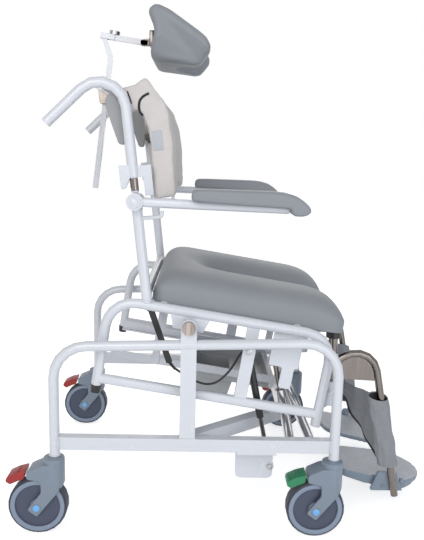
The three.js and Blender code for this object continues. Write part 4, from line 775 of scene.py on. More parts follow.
def smooth_line(points, steps):
    """Points of a uniform Catmull-Rom line through the given ones."""
    points = [Vector(p) for p in points]
    padded = [points[0] * 2 - points[1], *points, points[-1] * 2 - points[-2]]
    line = []
    for a, b, c, d in zip(padded, padded[1:], padded[2:], padded[3:]):
        for i in range(steps):
            t = i / steps
            square = (2 * a - 5 * b + 4 * c - d) * t**2
            line.append(0.5 * (2 * b + (c - a) * t + square + (3 * b - a - 3 * c + d) * t**3))
    return [*line, points[-1]]


def settle(made):
    """Replace a piece's mesh by the result of its modifiers."""
    bpy.context.view_layer.update()
    mesh = bpy.data.meshes.new_from_object(made.evaluated_get(bpy.context.evaluated_depsgraph_get()))
    made.modifiers.clear()
    old = made.data
    made.data = mesh
    bpy.data.meshes.remove(old)
    mesh.materials.clear()


def copy_shape(node_name):
    """The frame's mesh of a node, welded, as a bmesh."""
    shape = bmesh.new()
    shape.from_mesh(NODES[node_name].data)
    bmesh.ops.remove_doubles(shape, verts=shape.verts, dist=1e-5)
    return shape


def thicken(shape, thickness):
    """Give a sheet its thickness."""
    bmesh.ops.recalc_face_normals(shape, faces=shape.faces)
    bmesh.ops.solidify(shape, geom=list(shape.faces), thickness=thickness)


def shade_smooth(made):
    for polygon in made.data.polygons:
        polygon.use_smooth = True


FINE_CELL = 0.0024


def skin(made, shape, voxel, passes):
    """Remesh a closed shape into even cells and relax them."""
    finish = made.data.materials[0]
    shape.to_mesh(made.data)
    shape.free()
    remesh = made.modifiers.new("cells", "REMESH")
    remesh.mode = "VOXEL"
    remesh.voxel_size = voxel
    relax = made.modifiers.new("relax", "SMOOTH")
    relax.factor = 0.5
    relax.iterations = passes
    settle(made)
    made.data.materials.append(finish)
    shade_smooth(made)


CLOTH_FRAMES = 20


def swell(made, pressure, limit, held):
    """Blow a closed cloth up a little, keep what is held in place, and cap how far it moves."""
    finish = made.data.materials[0]
    before = [vert.co.copy() for vert in made.data.vertices]
    group = made.vertex_groups.new(name="held")
    group.add([vert.index for vert in made.data.vertices if held(vert.co)], 1.0, "REPLACE")
    modifier = made.modifiers.new("cloth", "CLOTH")
    settings = modifier.settings
    settings.quality = 5
    settings.mass = 0.2
    settings.tension_stiffness = 20
    settings.compression_stiffness = 12
    settings.bending_stiffness = 1.5
    settings.use_pressure = True
    settings.uniform_pressure_force = pressure
    settings.vertex_group_mass = "held"
    settings.effector_weights.gravity = 0
    modifier.collision_settings.use_collision = False
    scene = bpy.context.scene
    for number in range(1, CLOTH_FRAMES + 1):
        scene.frame_set(number)
    settle(made)
    scene.frame_set(1)
    made.data.materials.append(finish)
    for vert, start in zip(made.data.vertices, before):
        move = vert.co - start
        if move.length > limit:
            vert.co = start + move.normalized() * limit
    shade_smooth(made)


# Stage: camera, lamps, world and floor.


CAMERA_PLACE = (-0.064, -1.589, 0.807)
CAMERA_LENS = 43.45
CAMERA_HEADING, CAMERA_TILT, CAMERA_ROLL = -1.07, 80, 1.35
LAMP_AIM = (0, 0, 0.5)
LAMPS = (
    ("key", (-0.9, -2.6, 1.7), 1.6, 33, (1, 0.975, 0.94)),
    ("fill", (1.2, -2.5, 0.8), 1.8, 22, (0.86, 0.93, 1)),
    ("rim", (0.3, 2.4, 1.6), 1.8, 10, (1, 0.98, 0.95)),
)
WORLD_STRENGTH = 0.52
FLOOR_RADIUS = 14
FLOOR_GLOW = 0.62


class WHEELCHAIR_OT_stage(bpy.types.Operator):
    """Set the camera at the photograph's angle, the lamps, the world and the floor."""

    bl_idname = "wheelchair.stage"
    bl_label = "Stage"

    def execute(self, context):
        scene = context.scene
        scene.view_settings.view_transform = "Standard"
        self.aim_camera(scene)
        for name, place, size, power, tint in LAMPS:
            lamp = bpy.data.lights.new(name, "AREA")
            lamp.size = size
            lamp.energy = power
            lamp.color = tint
            aim = (Vector(LAMP_AIM) - Vector(place)).to_track_quat("-Z", "Y").to_matrix().to_4x4()
            add_object(name, lamp).matrix_world = Matrix.Translation(place) @ aim
        self.light_world(scene)
        self.lay_floor()
        return {"FINISHED"}

    def aim_camera(self, scene):
        camera = bpy.data.cameras.new("camera")
        camera.lens = CAMERA_LENS
        camera.sensor_width = 36
        scene.camera = add_object("camera", camera)
        turn = turned(CAMERA_HEADING, "Z") @ turned(CAMERA_TILT, "X")
        scene.camera.matrix_world = Matrix.Translation(CAMERA_PLACE) @ turn @ turned(CAMERA_ROLL, "Z")

    def light_world(self, scene):
        """A soft world that shows as plain white to the camera and half so in reflections."""
        world = bpy.data.worlds.new("studio")
        world.use_nodes = True
        scene.world = world
        graph = Graph(world.node_tree)
        soft = world.node_tree.nodes["Background"]
        graph.feed(soft, {"Color": (0.95, 0.97, 1), "Strength": WORLD_STRENGTH})
        white = graph.feed(graph.add("Background"), {"Color": (1, 1, 1)})[0]
        path = graph.add("LightPath").outputs
        seen = graph.maths("MAXIMUM", path["Is Camera Ray"], path["Is Transmission Ray"])
        seen = graph.maths("MAXIMUM", seen, graph.times(path["Is Glossy Ray"], 0.5))
        blend = graph.feed(graph.add("MixShader"), {0: seen, 1: soft.outputs[0], 2: white})[0]
        graph.feed(world.node_tree.nodes["World Output"], {"Surface": blend})

    def lay_floor(self):
        """A pale floor that the camera and reflections see brightened."""
        shape = bmesh.new()
        bmesh.ops.create_circle(shape, cap_ends=True, segments=64, radius=FLOOR_RADIUS)
        mesh = bpy.data.meshes.new("floor")
        shape.to_mesh(mesh)
        shape.free()
        floor = add_object("floor", mesh)
        material = bpy.data.materials.new("floor")
        material.use_nodes = True
        graph = Graph(material.node_tree)
        path = graph.add("LightPath").outputs
        seen = graph.maths("MAXIMUM", path["Is Camera Ray"], path["Is Glossy Ray"])
        values = {
            "Base Color": (0.82, 0.82, 0.82),
            "Roughness": 0.9,
            "Specular IOR Level": 0.1,
            "Emission Color": (1, 1, 1),
            "Emission Strength": graph.times(seen, FLOOR_GLOW),
        }
        graph.feed(material.node_tree.nodes["Principled BSDF"], values)
        mesh.materials.append(material)


# Release cable.


CABLE_ROUTE = (
    (-14, -222, -115),
    (8, -221, -126),
    (27, -219, -134),
    (47, -216, -141),
    (66, -213, -142),
    (83, -210, -136),
    (97, -207, -122),
    (108, -206, -105),
    (116, -206, -86),
    (122, -206, -68),
    (129, -208, -55),
)
LEVER_FOOT = (-27, -222, -104)
SLEEVE_LENGTH, SLEEVE_RIBS, RIB_PITCH = 0.0205, 5, 0.0032


class WHEELCHAIR_OT_cable(bpy.types.Operator):
    """Run the release cable from the lever to the gas spring, with its end sleeves."""

    bl_idname = "wheelchair.cable"
    bl_label = "Release cable"

    def execute(self, context):
        radius = sizes().cable_diameter / 2
        route = [SEAT @ (Vector(p) / 1000) for p in (LEVER_FOOT, *CABLE_ROUTE)]
        route.append(SPRING_HEAD)
        line = smooth_line(route, 3)
        sheath = line_curve("release_cable_sheath", line, radius, 5)
        sheath.data.materials.append(MATERIALS["black_plastic"])
        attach(sheath, "seat")
        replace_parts(sheath, "release_cable")
        sleeves = piece("release_cable_sleeves", "seat", "black_plastic")
        shape = bmesh.new()
        for start, ahead in ((line[0], line[2]), (line[-1], line[-3])):
            add_turned(shape, self.sleeve_profile(radius), along(ahead - start, start), 16)
        fill(sleeves, shape)
        return {"FINISHED"}

    def sleeve_profile(self, radius):
        """A ribbed sleeve that narrows away from the cable's end."""
        profile = [(0, 0), (radius * 1.5, 0)]
        for i in range(SLEEVE_RIBS):
            height = 0.003 + i * RIB_PITCH
            wide = radius * (1.5 - 0.07 * i)
            narrow = wide * 0.88
            profile += [(wide, height), (narrow, height + 0.0006)]
            profile += [(narrow, height + 0.0014), (wide * 0.97, height + 0.002)]
        return [*profile, (radius * 1.02, SLEEVE_LENGTH), (0, SLEEVE_LENGTH)]


# Pads.


SEAT_REAR, SEAT_FRONT, SEAT_HALF = -0.088, 0.336, 0.2333
SEAT_BASE, SEAT_WALL, SEAT_RISE = 0.0253, 0.012, 0.0605
SEAT_CORNER = 0.032
# The aperture's half width, where its round end starts, and how far its cut runs to the front.
APERTURE_HALF, APERTURE_END, APERTURE_REACH = 0.042, 0.038, 0.4
APERTURE_BEND = APERTURE_END + APERTURE_HALF
# How far inwards each edge of the seat pad goes on rising, and how full its curve is.
FRONT_EDGE, REAR_EDGE, SIDE_EDGE, DISH_EDGE = (0.098, 2.2), (0.068, 2.5), (0.096, 3.0), (0.095, 2.2)


def dome(depth, reach, power):
    """Height of a rounded edge, from 0 at the edge to 1 where the top levels out."""
    return (1 - (1 - clamp(depth / reach)) ** power) ** (1 / power)


class WHEELCHAIR_OT_seat_pad(bpy.types.Operator):
    """Mould the seat pad: one cushion with a dish at its rear that runs out into the open front."""

    bl_idname = "wheelchair.seat_pad"
    bl_label = "Seat pad"

    def height(self, x, y):
        """Height of the pad's top over its base at a place in the seat's axes."""
        ends = dome(SEAT_FRONT - x, *FRONT_EDGE) * dome(x - SEAT_REAR, *REAR_EDGE)
        sides = dome(SEAT_HALF - abs(y), *SIDE_EDGE)
        away = math.hypot(min(x - APERTURE_BEND, 0.0), y) - APERTURE_HALF
        return SEAT_WALL + SEAT_RISE * ends * sides * dome(away, *DISH_EDGE)
    def execute(self, context):
        pad = fill(piece("seat_cushion", "seat", "pad_skin"), self.cushion(), SOFT_ANGLE)
        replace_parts(pad, "seat_pad")
        shape = bmesh.new()
        stud = [(0, 0), (0.011, 0), (0.011, -0.006), (0.008, -0.009), (0, -0.009)]
        for side in (RIGHT, LEFT):
            for x in (-0.03, 0.2):
                at = SEAT @ Matrix.Translation((x, side * 0.15, SEAT_BASE))
                add_turned(shape, stud, at, 20)
        fill(piece("seat_pad_studs", "seat", "black_plastic"), shape)
        return {"FINISHED"}

    def cushion(self):
        """A height field over a rectangle with rounded corners, with the open aperture cut out."""
        shape = bmesh.new()
        bmesh.ops.create_grid(shape, x_segments=120, y_segments=140, size=1)
        middle, half_x = (SEAT_REAR + SEAT_FRONT) / 2, (SEAT_FRONT - SEAT_REAR) / 2
        for vert in shape.verts:
            # Cells are closer together towards the edges, where the top bends most.
            s, t = (0.4 * c + 0.6 * math.sin(c * math.pi / 2) for c in vert.co.xy)
            x, y = s * half_x, t * SEAT_HALF
            out_x, out_y = abs(x) - half_x + SEAT_CORNER, abs(y) - SEAT_HALF + SEAT_CORNER
            if out_x > 0 and out_y > 0:
                pull = max(out_x, out_y) / math.hypot(out_x, out_y)
                x = math.copysign(half_x - SEAT_CORNER + out_x * pull, x)
                y = math.copysign(SEAT_HALF - SEAT_CORNER + out_y * pull, y)
            x += middle
            vert.co = (x, y, SEAT_BASE + self.height(x, y))
        for vert in extrude(shape, list(shape.faces)):
            vert.co.z = SEAT_BASE
        bmesh.ops.recalc_face_normals(shape, faces=shape.faces)
        arc = [math.pi * (0.5 + i / 24) for i in range(25)]
        ring = [(APERTURE_BEND + APERTURE_HALF * math.cos(a), APERTURE_HALF * math.sin(a)) for a in arc]
        ring += [(APERTURE_REACH, -APERTURE_HALF), (APERTURE_REACH, APERTURE_HALF)]
        carve(shape, [("DIFFERENCE", prism(ring, 0, 0.2))])
        bmesh.ops.transform(shape, matrix=SEAT, verts=shape.verts)
        return shape


HEAD_CELL = 0.0038
HINGE_SIDE = mm(((-41, -7), (-41, -18), (-34, -21), (-14, -20), (-14, -3)))


class WHEELCHAIR_OT_head_pad(bpy.types.Operator):
    """Mould the winged headrest pad and its fixings."""

    bl_idname = "wheelchair.head_pad"
    bl_label = "Headrest pad"

    def execute(self, context):
        pad = piece("headrest_cushion", "head_pad", "pad_skin")
        shape = copy_shape("headrest_pad")
        inverse = HEAD.inverted()
        for vert in shape.verts:
            x, y, z = inverse @ vert.co
            low = clamp((-0.035 - z) / 0.04)
            ahead = clamp((x + 0.02) / 0.105)
            behind = clamp((0.03 - x) / 0.06)
            narrow = 0.94 - 0.14 * low - 0.2 * low * behind
            vert.co = HEAD @ Vector((x, y * narrow, z + 0.013 * low * ahead))
        skin(pad, shape, HEAD_CELL, 9)
        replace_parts(pad, "headrest_pad")
        bracket = piece("headrest_hinge_plate", "head_pad", "stainless")
        shape = bmesh.new()
        add_block(shape, (0.012, 0.05, 0.036), HEAD @ Matrix.Translation((-0.012, 0, -0.006)), 0.003)
        add_plate(shape, HINGE_SIDE, -0.006, 0.006, HEAD, 0.003, 0.0012)
        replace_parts(fill(bracket, shape, CRISP_ANGLE), "headrest_bracket")
        return {"FINISHED"}


ARM_PAD_SIDE = mm(
    (
        *((119, 8), (200, 5), (300, 3), (312.5, 2), (313.5, -7), (321, -11.5), (336, -11.5)),
        *((346, -8.5), (352, -3), (352.5, 3), (347, 11), (336, 20), (321, 28.5), (300, 33.5)),
        *((275, 35), (150, 33.5), (122, 32), (114.5, 26), (113.5, 17), (115, 10)),
    )
)


class WHEELCHAIR_OT_arm_pads(bpy.types.Operator):
    """Mould the two armrest pads with their drooping noses."""

    bl_idname = "wheelchair.arm_pads"
    bl_label = "Armrest pads"

    def execute(self, context):
        for side, name in SIDES:
            pad = piece("armrest_cushion_" + name, "armrest_" + name, "pad_skin")
            shape = bmesh.new()
            edges = sorted((side * 0.038, side * -0.012))
            add_plate(shape, ARM_PAD_SIDE, *edges, axes(ARM_X, side * 0.27, ARM_Z, 1.5), rim=0.0075)
            skin(pad, shape, FINE_CELL, 8)
            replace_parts(pad, "arm_pad_" + name)
        return {"FINISHED"}


# Back cover.


COVER_HALF, COVER_BEND, COVER_DEPTH = 0.2325, 0.024, 0.084
COVER_SAG, COVER_SAG_HALF = 0.014, 0.212
COVER_CELL = 0.004
COVER_FRONT = mm(
    (
        *((40, 220), (76, 220), (82, 226), (84, 288), (86, 342)),
        *((84, 392), (79, 412), (70, 425), (58, 432), (40, 432)),
    )
)
COVER_WING = mm(
    (
        *((-41, 424), (-36, 435), (-20, 442), (-4, 448), (22, 452), (33, 460), (43, 464), (50, 457)),
        *((58, 444), (70, 428), (79, 414), (84, 392), (86, 342), (84, 288), (82, 226), (76, 220)),
        *((40, 220), (34, 227), (40, 279), (43, 336), (40, 357), (31, 389), (22, 401), (12, 402)),
        *((2, 380), (-11, 338), (-24, 338), (-32, 374), (-39, 409)),
    )
)
COVER_FLAP = mm(
    (
        *((-43, 424), (-37, 436), (-20, 442), (-9, 440), (-3, 410)),
        *((-3, 378), (-12, 336), (-24, 336), (-33, 374), (-41, 409)),
    )
)
# Lines of the binding on the wing, each with its width as a share of the binding's.
BINDINGS = (
    (((48, 432), (36, 427), (28, 419), (25, 407), (26, 397), (31, 389)), 1.5),
    (((5, 440), (8, 428), (11, 415)), 0.8),
)
# Places of the sewn channels, and the width and depth of the two grooves that make up each.
SEAMS = (-0.11, 0.11)
GROOVES = ((0.006, 0.0045), (0.03, 0.0025))


class WHEELCHAIR_OT_back_cover(bpy.types.Operator):
    """Fill and stitch the back cover, with its bindings, patches and clips, and flaps in a darker grey that
    paints their shade.
    """

    bl_idname = "wheelchair.back_cover"
    bl_label = "Back cover"

    def execute(self, context):
        cover = piece("back_cover_padded", "seat", "cover_fabric")
        inverse = BACK.inverted()
        skin(cover, self.cut(), COVER_CELL, 5)
        for vert in cover.data.vertices:
            local = inverse @ vert.co
            local.x -= COVER_SAG * max(1 - (local.y / COVER_SAG_HALF) ** 2, 0)
            vert.co = BACK @ local

        def held(point):
            local = inverse @ point
            return abs(local.y) > 0.226 or local.x < 0.03

        swell(cover, sizes().cover_pressure, sizes().cover_limit, held)
        self.quilt(cover, inverse)
        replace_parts(cover, "back_cover")
        for side, name in SIDES:
            self.dress(side, name)
        return {"FINISHED"}

    def cut(self):
        """The cover's form: a front panel with rounded upright corners and a folded wing at each side."""
        shape = bmesh.new()
        add_plate(shape, COVER_FRONT, -COVER_HALF, COVER_HALF)
        plan = bmesh.new()
        middle_x, middle_y = COVER_DEPTH - COVER_BEND, COVER_HALF - COVER_BEND
        turns = [math.pi / 2 * i / 8 for i in range(9)]
        arc = [(middle_x + COVER_BEND * math.cos(a), middle_y + COVER_BEND * math.sin(a)) for a in turns]
        ring = [*arc, (0.03, COVER_HALF), (0.03, -COVER_HALF), *((x, -y) for x, y in reversed(arc))]
        add_plate(plan, ring, 0.2, 0.45, FLAT)
        carve(shape, [("INTERSECT", plan)])
        for side in (RIGHT, LEFT):
            add_plate(shape, COVER_WING, *sorted((side * 0.199, side * COVER_HALF)), rim=0.005)
        bmesh.ops.transform(shape, matrix=BACK, verts=shape.verts)
        return shape

    def quilt(self, cover, inverse):
        """Press the sewn channels into the front and crease the cloth at the edges."""
        for vert in cover.data.vertices:
            local = inverse @ vert.co
            x, y, z = local
            dent = 0.0
            if x > 0.04 and abs(y) < 0.205:
                for seam in SEAMS:
                    for width, depth in GROOVES:
                        dent += depth * math.exp(-(((y - seam) / width) ** 2))
            fold = noise.noise(Vector((y * 9, z * 26, x * 9))) * 0.0022
            edge = clamp((abs(y) - 0.16) / 0.06)
            vert.co = BACK @ (local + Vector((fold * (0.35 + edge) - dent, 0, 0)))

    def dress(self, side, name):
        """Sew the binding, patch and clip of one side, and lay on the flap, whose darker grey is painted
        shade.
        """
        shape = bmesh.new()
        for line, width in BINDINGS:
            points = smooth_line([(x, side * 0.2331, z) for x, z in mm(line)], 4)
            absorb(shape, self.tape_strip(points, sizes().binding_width * width, side))
        bmesh.ops.transform(shape, matrix=BACK, verts=shape.verts)
        fill(piece("cover_binding_" + name, "seat", "binding"), shape)
        shape = bmesh.new()
        patch = BACK @ Matrix.Translation((0.0555, side * 0.2326, 0.3375))
        add_block(shape, (0.021, 0.003, 0.039), patch, 0.0009)
        fill(piece("cover_patch_" + name, "seat", "cover_band"), shape)
        # The flap is a thin sheet flush on the wing; its darker grey is painted shade.
        shape = bmesh.new()
        add_plate(shape, COVER_FLAP, *sorted((side * 0.1984, side * 0.2332)), BACK, 0.006, 0.004)
        fill(piece("cover_flap_" + name, "seat", "cover_flap"), shape)
        shape = bmesh.new()
        clip = BACK @ axes(0.037, side * 0.212, 0.344, -8)
        add_block(shape, (0.007, 0.022, 0.02), clip, 0.0012)
        add_block(shape, (0.004, 0.016, 0.012), clip @ Matrix.Translation((-0.005, 0, 0.002)), 0.0008)
        fill(piece("cover_clip_" + name, "seat", "black_plastic"), shape)

    def tape_strip(self, points, width, side):
        """A flat strip of tape that stands a little proud of the cloth."""
        strip = bmesh.new()
        rows = []
        for i, point in enumerate(points):
            ahead = (points[min(i + 1, len(points) - 1)] - points[max(i - 1, 0)]).normalized()
            across = ahead.cross(Vector((0, side, 0))).normalized() * width / 2
            rows.append([strip.verts.new(point + across), strip.verts.new(point - across)])
        for low, high in zip(rows, rows[1:]):
            strip.faces.new((low[0], low[1], high[1], high[0]))
        thicken(strip, 0.0016)
        bmesh.ops.translate(strip, verts=strip.verts, vec=(0, side * 0.0002, 0))
        return strip


# Calf strap.


BAND_EDGE = mm(((187, -138), (159, -98), (139, -76), (126, -59), (112, -40), (100, -20), (80, -12), (0, -12)))


# The arched tube's leg, as (x, z) from the hanger's axes, and the cloth that goes round it.
ARCH_TOP, ARCH_FOOT = (0.086, 0.158), (0.162, -0.22)
SLEEVE_TOP, SLEEVE_BOTTOM, SLEEVE_GIRTH = 0.0195, -0.146, 0.118
SLEEVE_HALF_X, SLEEVE_HALF_Y = 0.0225, 0.0125
SLEEVE_THICK, OPENING_SHADE_THICK, BAND_THICK = 0.0016, 0.0008, 0.0018
BAND_REACH, BAND_LAP, BAND_HEIGHT, BAND_TOP, BAND_SAG = 0.187, 0.012, 0.1625, 0.0245, 0.06


def arch_x(height):
    """Where the leg of the arched tube runs at a height from the hanger's axes."""
    (top_x, top_z), (foot_x, foot_z) = ARCH_TOP, ARCH_FOOT
    return top_x + (top_z - height) / (top_z - foot_z) * (foot_x - top_x)


class WHEELCHAIR_OT_calf_strap(bpy.types.Operator):
    """Sew the calf strap's two sleeves, each with a dark sheet of painted shade inside its open top, and its
    band in two bound halves.
    """

    bl_idname = "wheelchair.calf_strap"
    bl_label = "Calf strap"

    def execute(self, context):
        at = Vector((HANGER_X, 0, HANGER_Z))
        for side, name in SIDES:
            body = "leg_hanger_" + name
            sleeve = piece("strap_sleeve_cloth_" + name, body, "strap_fabric")
            flat = self.sew_sleeve(sleeve, side, at)
            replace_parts(sleeve, "calf_strap" if side == RIGHT else "strap_sleeve_left")
            lining = piece("strap_sleeve_lining_" + name, body, "binding")
            self.shade_sleeve_opening(lining, side, at)
        for side, name in SIDES:
            band = piece("strap_band_" + name, "leg_hanger_right", "strap_fabric")
            flat, area = self.sew_band(band, side, at)
            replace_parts(band, "calf_strap")
            # The black tape is real binding, made thick enough to paint the shade under the band as well.
            edges = piece("strap_band_binding_" + name, "leg_hanger_right", "binding")
            line = [self.band_point(side, i / 32, 0.0) + at for i in range(33)]
            fill(edges, swept(line, 0.0038))
            for made in (band, edges):
                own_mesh(made)
        return {"FINISHED"}

    def sleeve_point(self, side, level, turn, inset=0.0):
        share = (level - SLEEVE_BOTTOM) / (SLEEVE_TOP - SLEEVE_BOTTOM)
        angle = 2 * math.pi * turn
        half = SLEEVE_HALF_X + share * 0.001 - inset
        crease = 0.0017 * math.sin(4 * angle + 9 * share) * math.sin(math.pi * share)
        crease += 0.0013 * math.sin(9 * angle - 5 * share) * (1 - share)
        crease += 0.0006 * math.sin(23 * share + 3 * angle)
        x = arch_x(level) - 0.006 + math.cos(angle) * (half + crease)
        y = side * HANGER_Y + math.sin(angle) * (SLEEVE_HALF_Y - inset + crease * 0.6)
        outer = side * math.sin(angle)
        return Vector((x, y, level - share * (0.0065 * outer + 0.003 * math.cos(angle))))

    def shade_sleeve_opening(self, lining, side, at):
        """A dark sheet of painted shade inside the sleeve's open top."""
        shape = bmesh.new()
        bmesh.ops.create_grid(shape, x_segments=48, y_segments=8, size=1)
        for vert in shape.verts:
            level = SLEEVE_TOP - 0.002 - (1 - vert.co.y) / 2 * 0.04
            vert.co = self.sleeve_point(side, level, (vert.co.x + 1) / 2, 0.0024) + at
        bmesh.ops.remove_doubles(shape, verts=shape.verts, dist=1e-5)
        thicken(shape, OPENING_SHADE_THICK)
        fill(lining, shape, SOFT_ANGLE)

    def sew_sleeve(self, sleeve, side, at):
        """One sleeve; gives back the cloth's girth and height when it is laid flat."""
        shape = bmesh.new()
        bmesh.ops.create_grid(shape, x_segments=48, y_segments=24, size=1, calc_uvs=True)
        layer = shape.loops.layers.uv.verify()
        height = SLEEVE_TOP - SLEEVE_BOTTOM
        for vert in shape.verts:
            turn = (vert.co.x + 1) / 2
            level = SLEEVE_BOTTOM + (vert.co.y + 1) / 2 * height
            for loop in vert.link_loops:
                loop[layer].uv = (turn * SLEEVE_GIRTH, level)
            vert.co = self.sleeve_point(side, level, turn) + at
        bmesh.ops.remove_doubles(shape, verts=shape.verts, dist=1e-5)
        thicken(shape, SLEEVE_THICK)
        fill(sleeve, shape, SOFT_ANGLE)
        return SLEEVE_GIRTH, height

    def band_point(self, side, share, level):
        """A point of half the band, by the shares of its length from the sleeve and of its height."""
        y = side * (BAND_REACH - share * (BAND_REACH + BAND_LAP))
        slack = 1 - (y / BAND_REACH) ** 2
        low = -0.012
        for (far, far_z), (near, near_z) in zip(BAND_EDGE, BAND_EDGE[1:]):
            if near <= abs(y) <= far:
                low = near_z + (far_z - near_z) * (abs(y) - near) / (far - near)
        z = low + level * (BAND_TOP - 0.004 * slack - low)
        ripple = 0.0032 * math.sin(9 * level + 11 * share) * slack
        ripple += 0.0028 * math.sin(34 * share + 5 * level) * min(6 * share, 1)
        ripple += 0.0012 * math.sin(17 * level - 21 * share)
        lap = (0.0012 if side == RIGHT else -0.0012) * slack
        return Vector((arch_x(z) - 0.021 - BAND_SAG * slack + ripple + lap, y, z))

    def sew_band(self, band, side, at):
        """Half the band; gives back its size when it is laid flat, and its area."""
        shape = bmesh.new()
        bmesh.ops.create_grid(shape, x_segments=32, y_segments=20, size=1, calc_uvs=True)
        layer = shape.loops.layers.uv.verify()
        top_edge = [self.band_point(side, i / 32, 1.0) for i in range(33)]
        length = sum((b - a).length for a, b in zip(top_edge, top_edge[1:]))
        for vert in shape.verts:
            share, level = (vert.co.x + 1) / 2, (vert.co.y + 1) / 2
            for loop in vert.link_loops:
                loop[layer].uv = (share * length, level * BAND_HEIGHT)
            vert.co = self.band_point(side, share, level) + at
        area = sum(face.calc_area() for face in shape.faces)
        thicken(shape, BAND_THICK)
        fill(band, shape, SOFT_ANGLE)
        return (BAND_HEIGHT, length), area


# Footplates.


FOOT_HINGE = (0.389318, 0.1875, 0.075)
FOOT_SLOPE = 0.178
KNUCKLE, KNUCKLE_HALF = 0.0066, 0.0195
LUG_LENGTH = 0.0075
BRACKET_SIDE = mm(((-32, 20), (10, 20), (27, -26), (-49, -26)))
PLATE_PLAN = mm(
    (
        *((-117, -21), (-117, -98), (-109, -128), (-90, -143), (-50, -151), (0, -158), (34, -156)),
        *((62, -145), (82, -122), (90, -98), (88, -72), (76, -48), (56, -26), (34, -9), (18, -6)),
        (-110, -9),
    )
)


class WHEELCHAIR_OT_footplates(bpy.types.Operator):
    """Mould the two footplates, their hinge knuckles and the brackets that carry them."""

    bl_idname = "wheelchair.footplates"
    bl_label = "Footplates"

    def execute(self, context):
        x, y, z = FOOT_HINGE
        hinge = along((1, 0, -FOOT_SLOPE), (0, 0, 0))
        for side, name in SIDES:
            at = Matrix.Translation((x, side * y, z))
            plate = piece("footplate_moulding_" + name, "foot_" + name, "grey_plastic")
            shape = self.plate(side)
            add_turned(shape, rod(KNUCKLE, -KNUCKLE_HALF, KNUCKLE_HALF), hinge, 28)
            bmesh.ops.transform(shape, matrix=at, verts=shape.verts)
            skin(plate, shape, FINE_CELL, 4)
            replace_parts(plate, "footplate_" + name)
            shape = self.bracket(side, hinge)
            bmesh.ops.transform(shape, matrix=at, verts=shape.verts)
            bracket = piece("foot_bracket_" + name, "leg_hanger_" + name, "caster_plastic")
            fill(bracket, shape, CRISP_ANGLE)
            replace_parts(bracket, "footplate_bracket_" + name)
        return {"FINISHED"}

    def bracket(self, side, hinge):
        """The bracket's web with its two lugs and two bolts."""
        shape = bmesh.new()
        edges = sorted((side * -0.003, side * 0.006))
        add_plate(shape, BRACKET_SIDE, *edges, corner=0.004, rim=0.0012)
        for low in (-0.028, 0.0205):
            add_turned(shape, rod(KNUCKLE, low, low + LUG_LENGTH), hinge, 28)
        for x, z in ((-0.02, -0.014), (0.008, -0.016)):
            add_bolt(shape, along((0, side, 0), (x, side * 0.006, z)), 0.0036, 0.0024)
        return shape

    def plate(self, side):
        """The plate without its knuckle: a sloping slab, deeper near the hinge, cut to its outline."""
        shape = bmesh.new()
        bmesh.ops.create_grid(shape, x_segments=60, y_segments=46, size=1)
        for vert in shape.verts:
            x = -0.013 + vert.co.x * 0.112
            vert.co = (x, side * (-0.083 + vert.co.y * 0.086), -FOOT_SLOPE * x)
        for vert in extrude(shape, list(shape.faces)):
            x, y, z = vert.co
            deep = clamp((side * y + 0.07) / 0.045) * clamp((x + 0.15) / 0.09)
            deep *= clamp((0.085 - x) / 0.065)
            vert.co.z = z - 0.012 - 0.014 * deep
        bmesh.ops.recalc_face_normals(shape, faces=shape.faces)
        plan = bmesh.new()
        add_plate(plan, [(x, -side * u) for x, u in PLATE_PLAN], -0.08, 0.06, FLAT, 0.006)
        carve(shape, [("INTERSECT", plan)])
        return shape


# Casters.


FORK_HALF = 0.0235
WELL_RADIUS, WELL_WIDTH = 0.0655, 0.036
FORK_SIDE = mm(
    (
        *((20.5, 158), (20.5, 111), (8, 96), (-35.6, 41.9), (-56.1, 57.9)),
        *((-26, 96.3), (-27, 121), (-56.5, 127.2), (-55.5, 143.5), (-24.5, 158)),
    )
)
PEDAL_SIDE = mm(
    ((-58.5, 144), (-62.5, 126), (-75, 121.5), (-91.5, 113.5), (-101, 120), (-98.5, 129), (-79, 138.5))
)
CAP = [(0, 0.15), (0.0226, 0.15), (0.0226, 0.1652), (0.0217, 0.1682), (0.0192, 0.1697), (0, 0.1697)]
COLLAR = [(0.0112, 0.1694), (0.0148, 0.1694), (0.0148, 0.1712), (0.0112, 0.1722)]
AXLE_HEAD = [(0, -0.001), (0.0094, -0.001), (0.0094, 0.0008), (0.0086, 0.0016), (0, 0.0016)]
AXLE_PLUG = [(0, -0.001), (0.0072, -0.001), (0.0072, 0.0004), (0.0062, 0.0011), (0, 0.0013)]
RIM_RING = [
    *((0.0478, -0.003), (0.0482, -0.0002), (0.0492, 0.0004)),
    *((0.0565, 0.0004), (0.0575, 0), (0.0579, -0.0009)),
]
HUB_RING = [(0.0118, -0.0003), (0.0124, 0.0005), (0.0142, 0.0005), (0.015, -0.001)]
TYRE_SEAM = [(0.0605, -0.0032), (0.0617, -0.0022), (0.0607, -0.0012)]


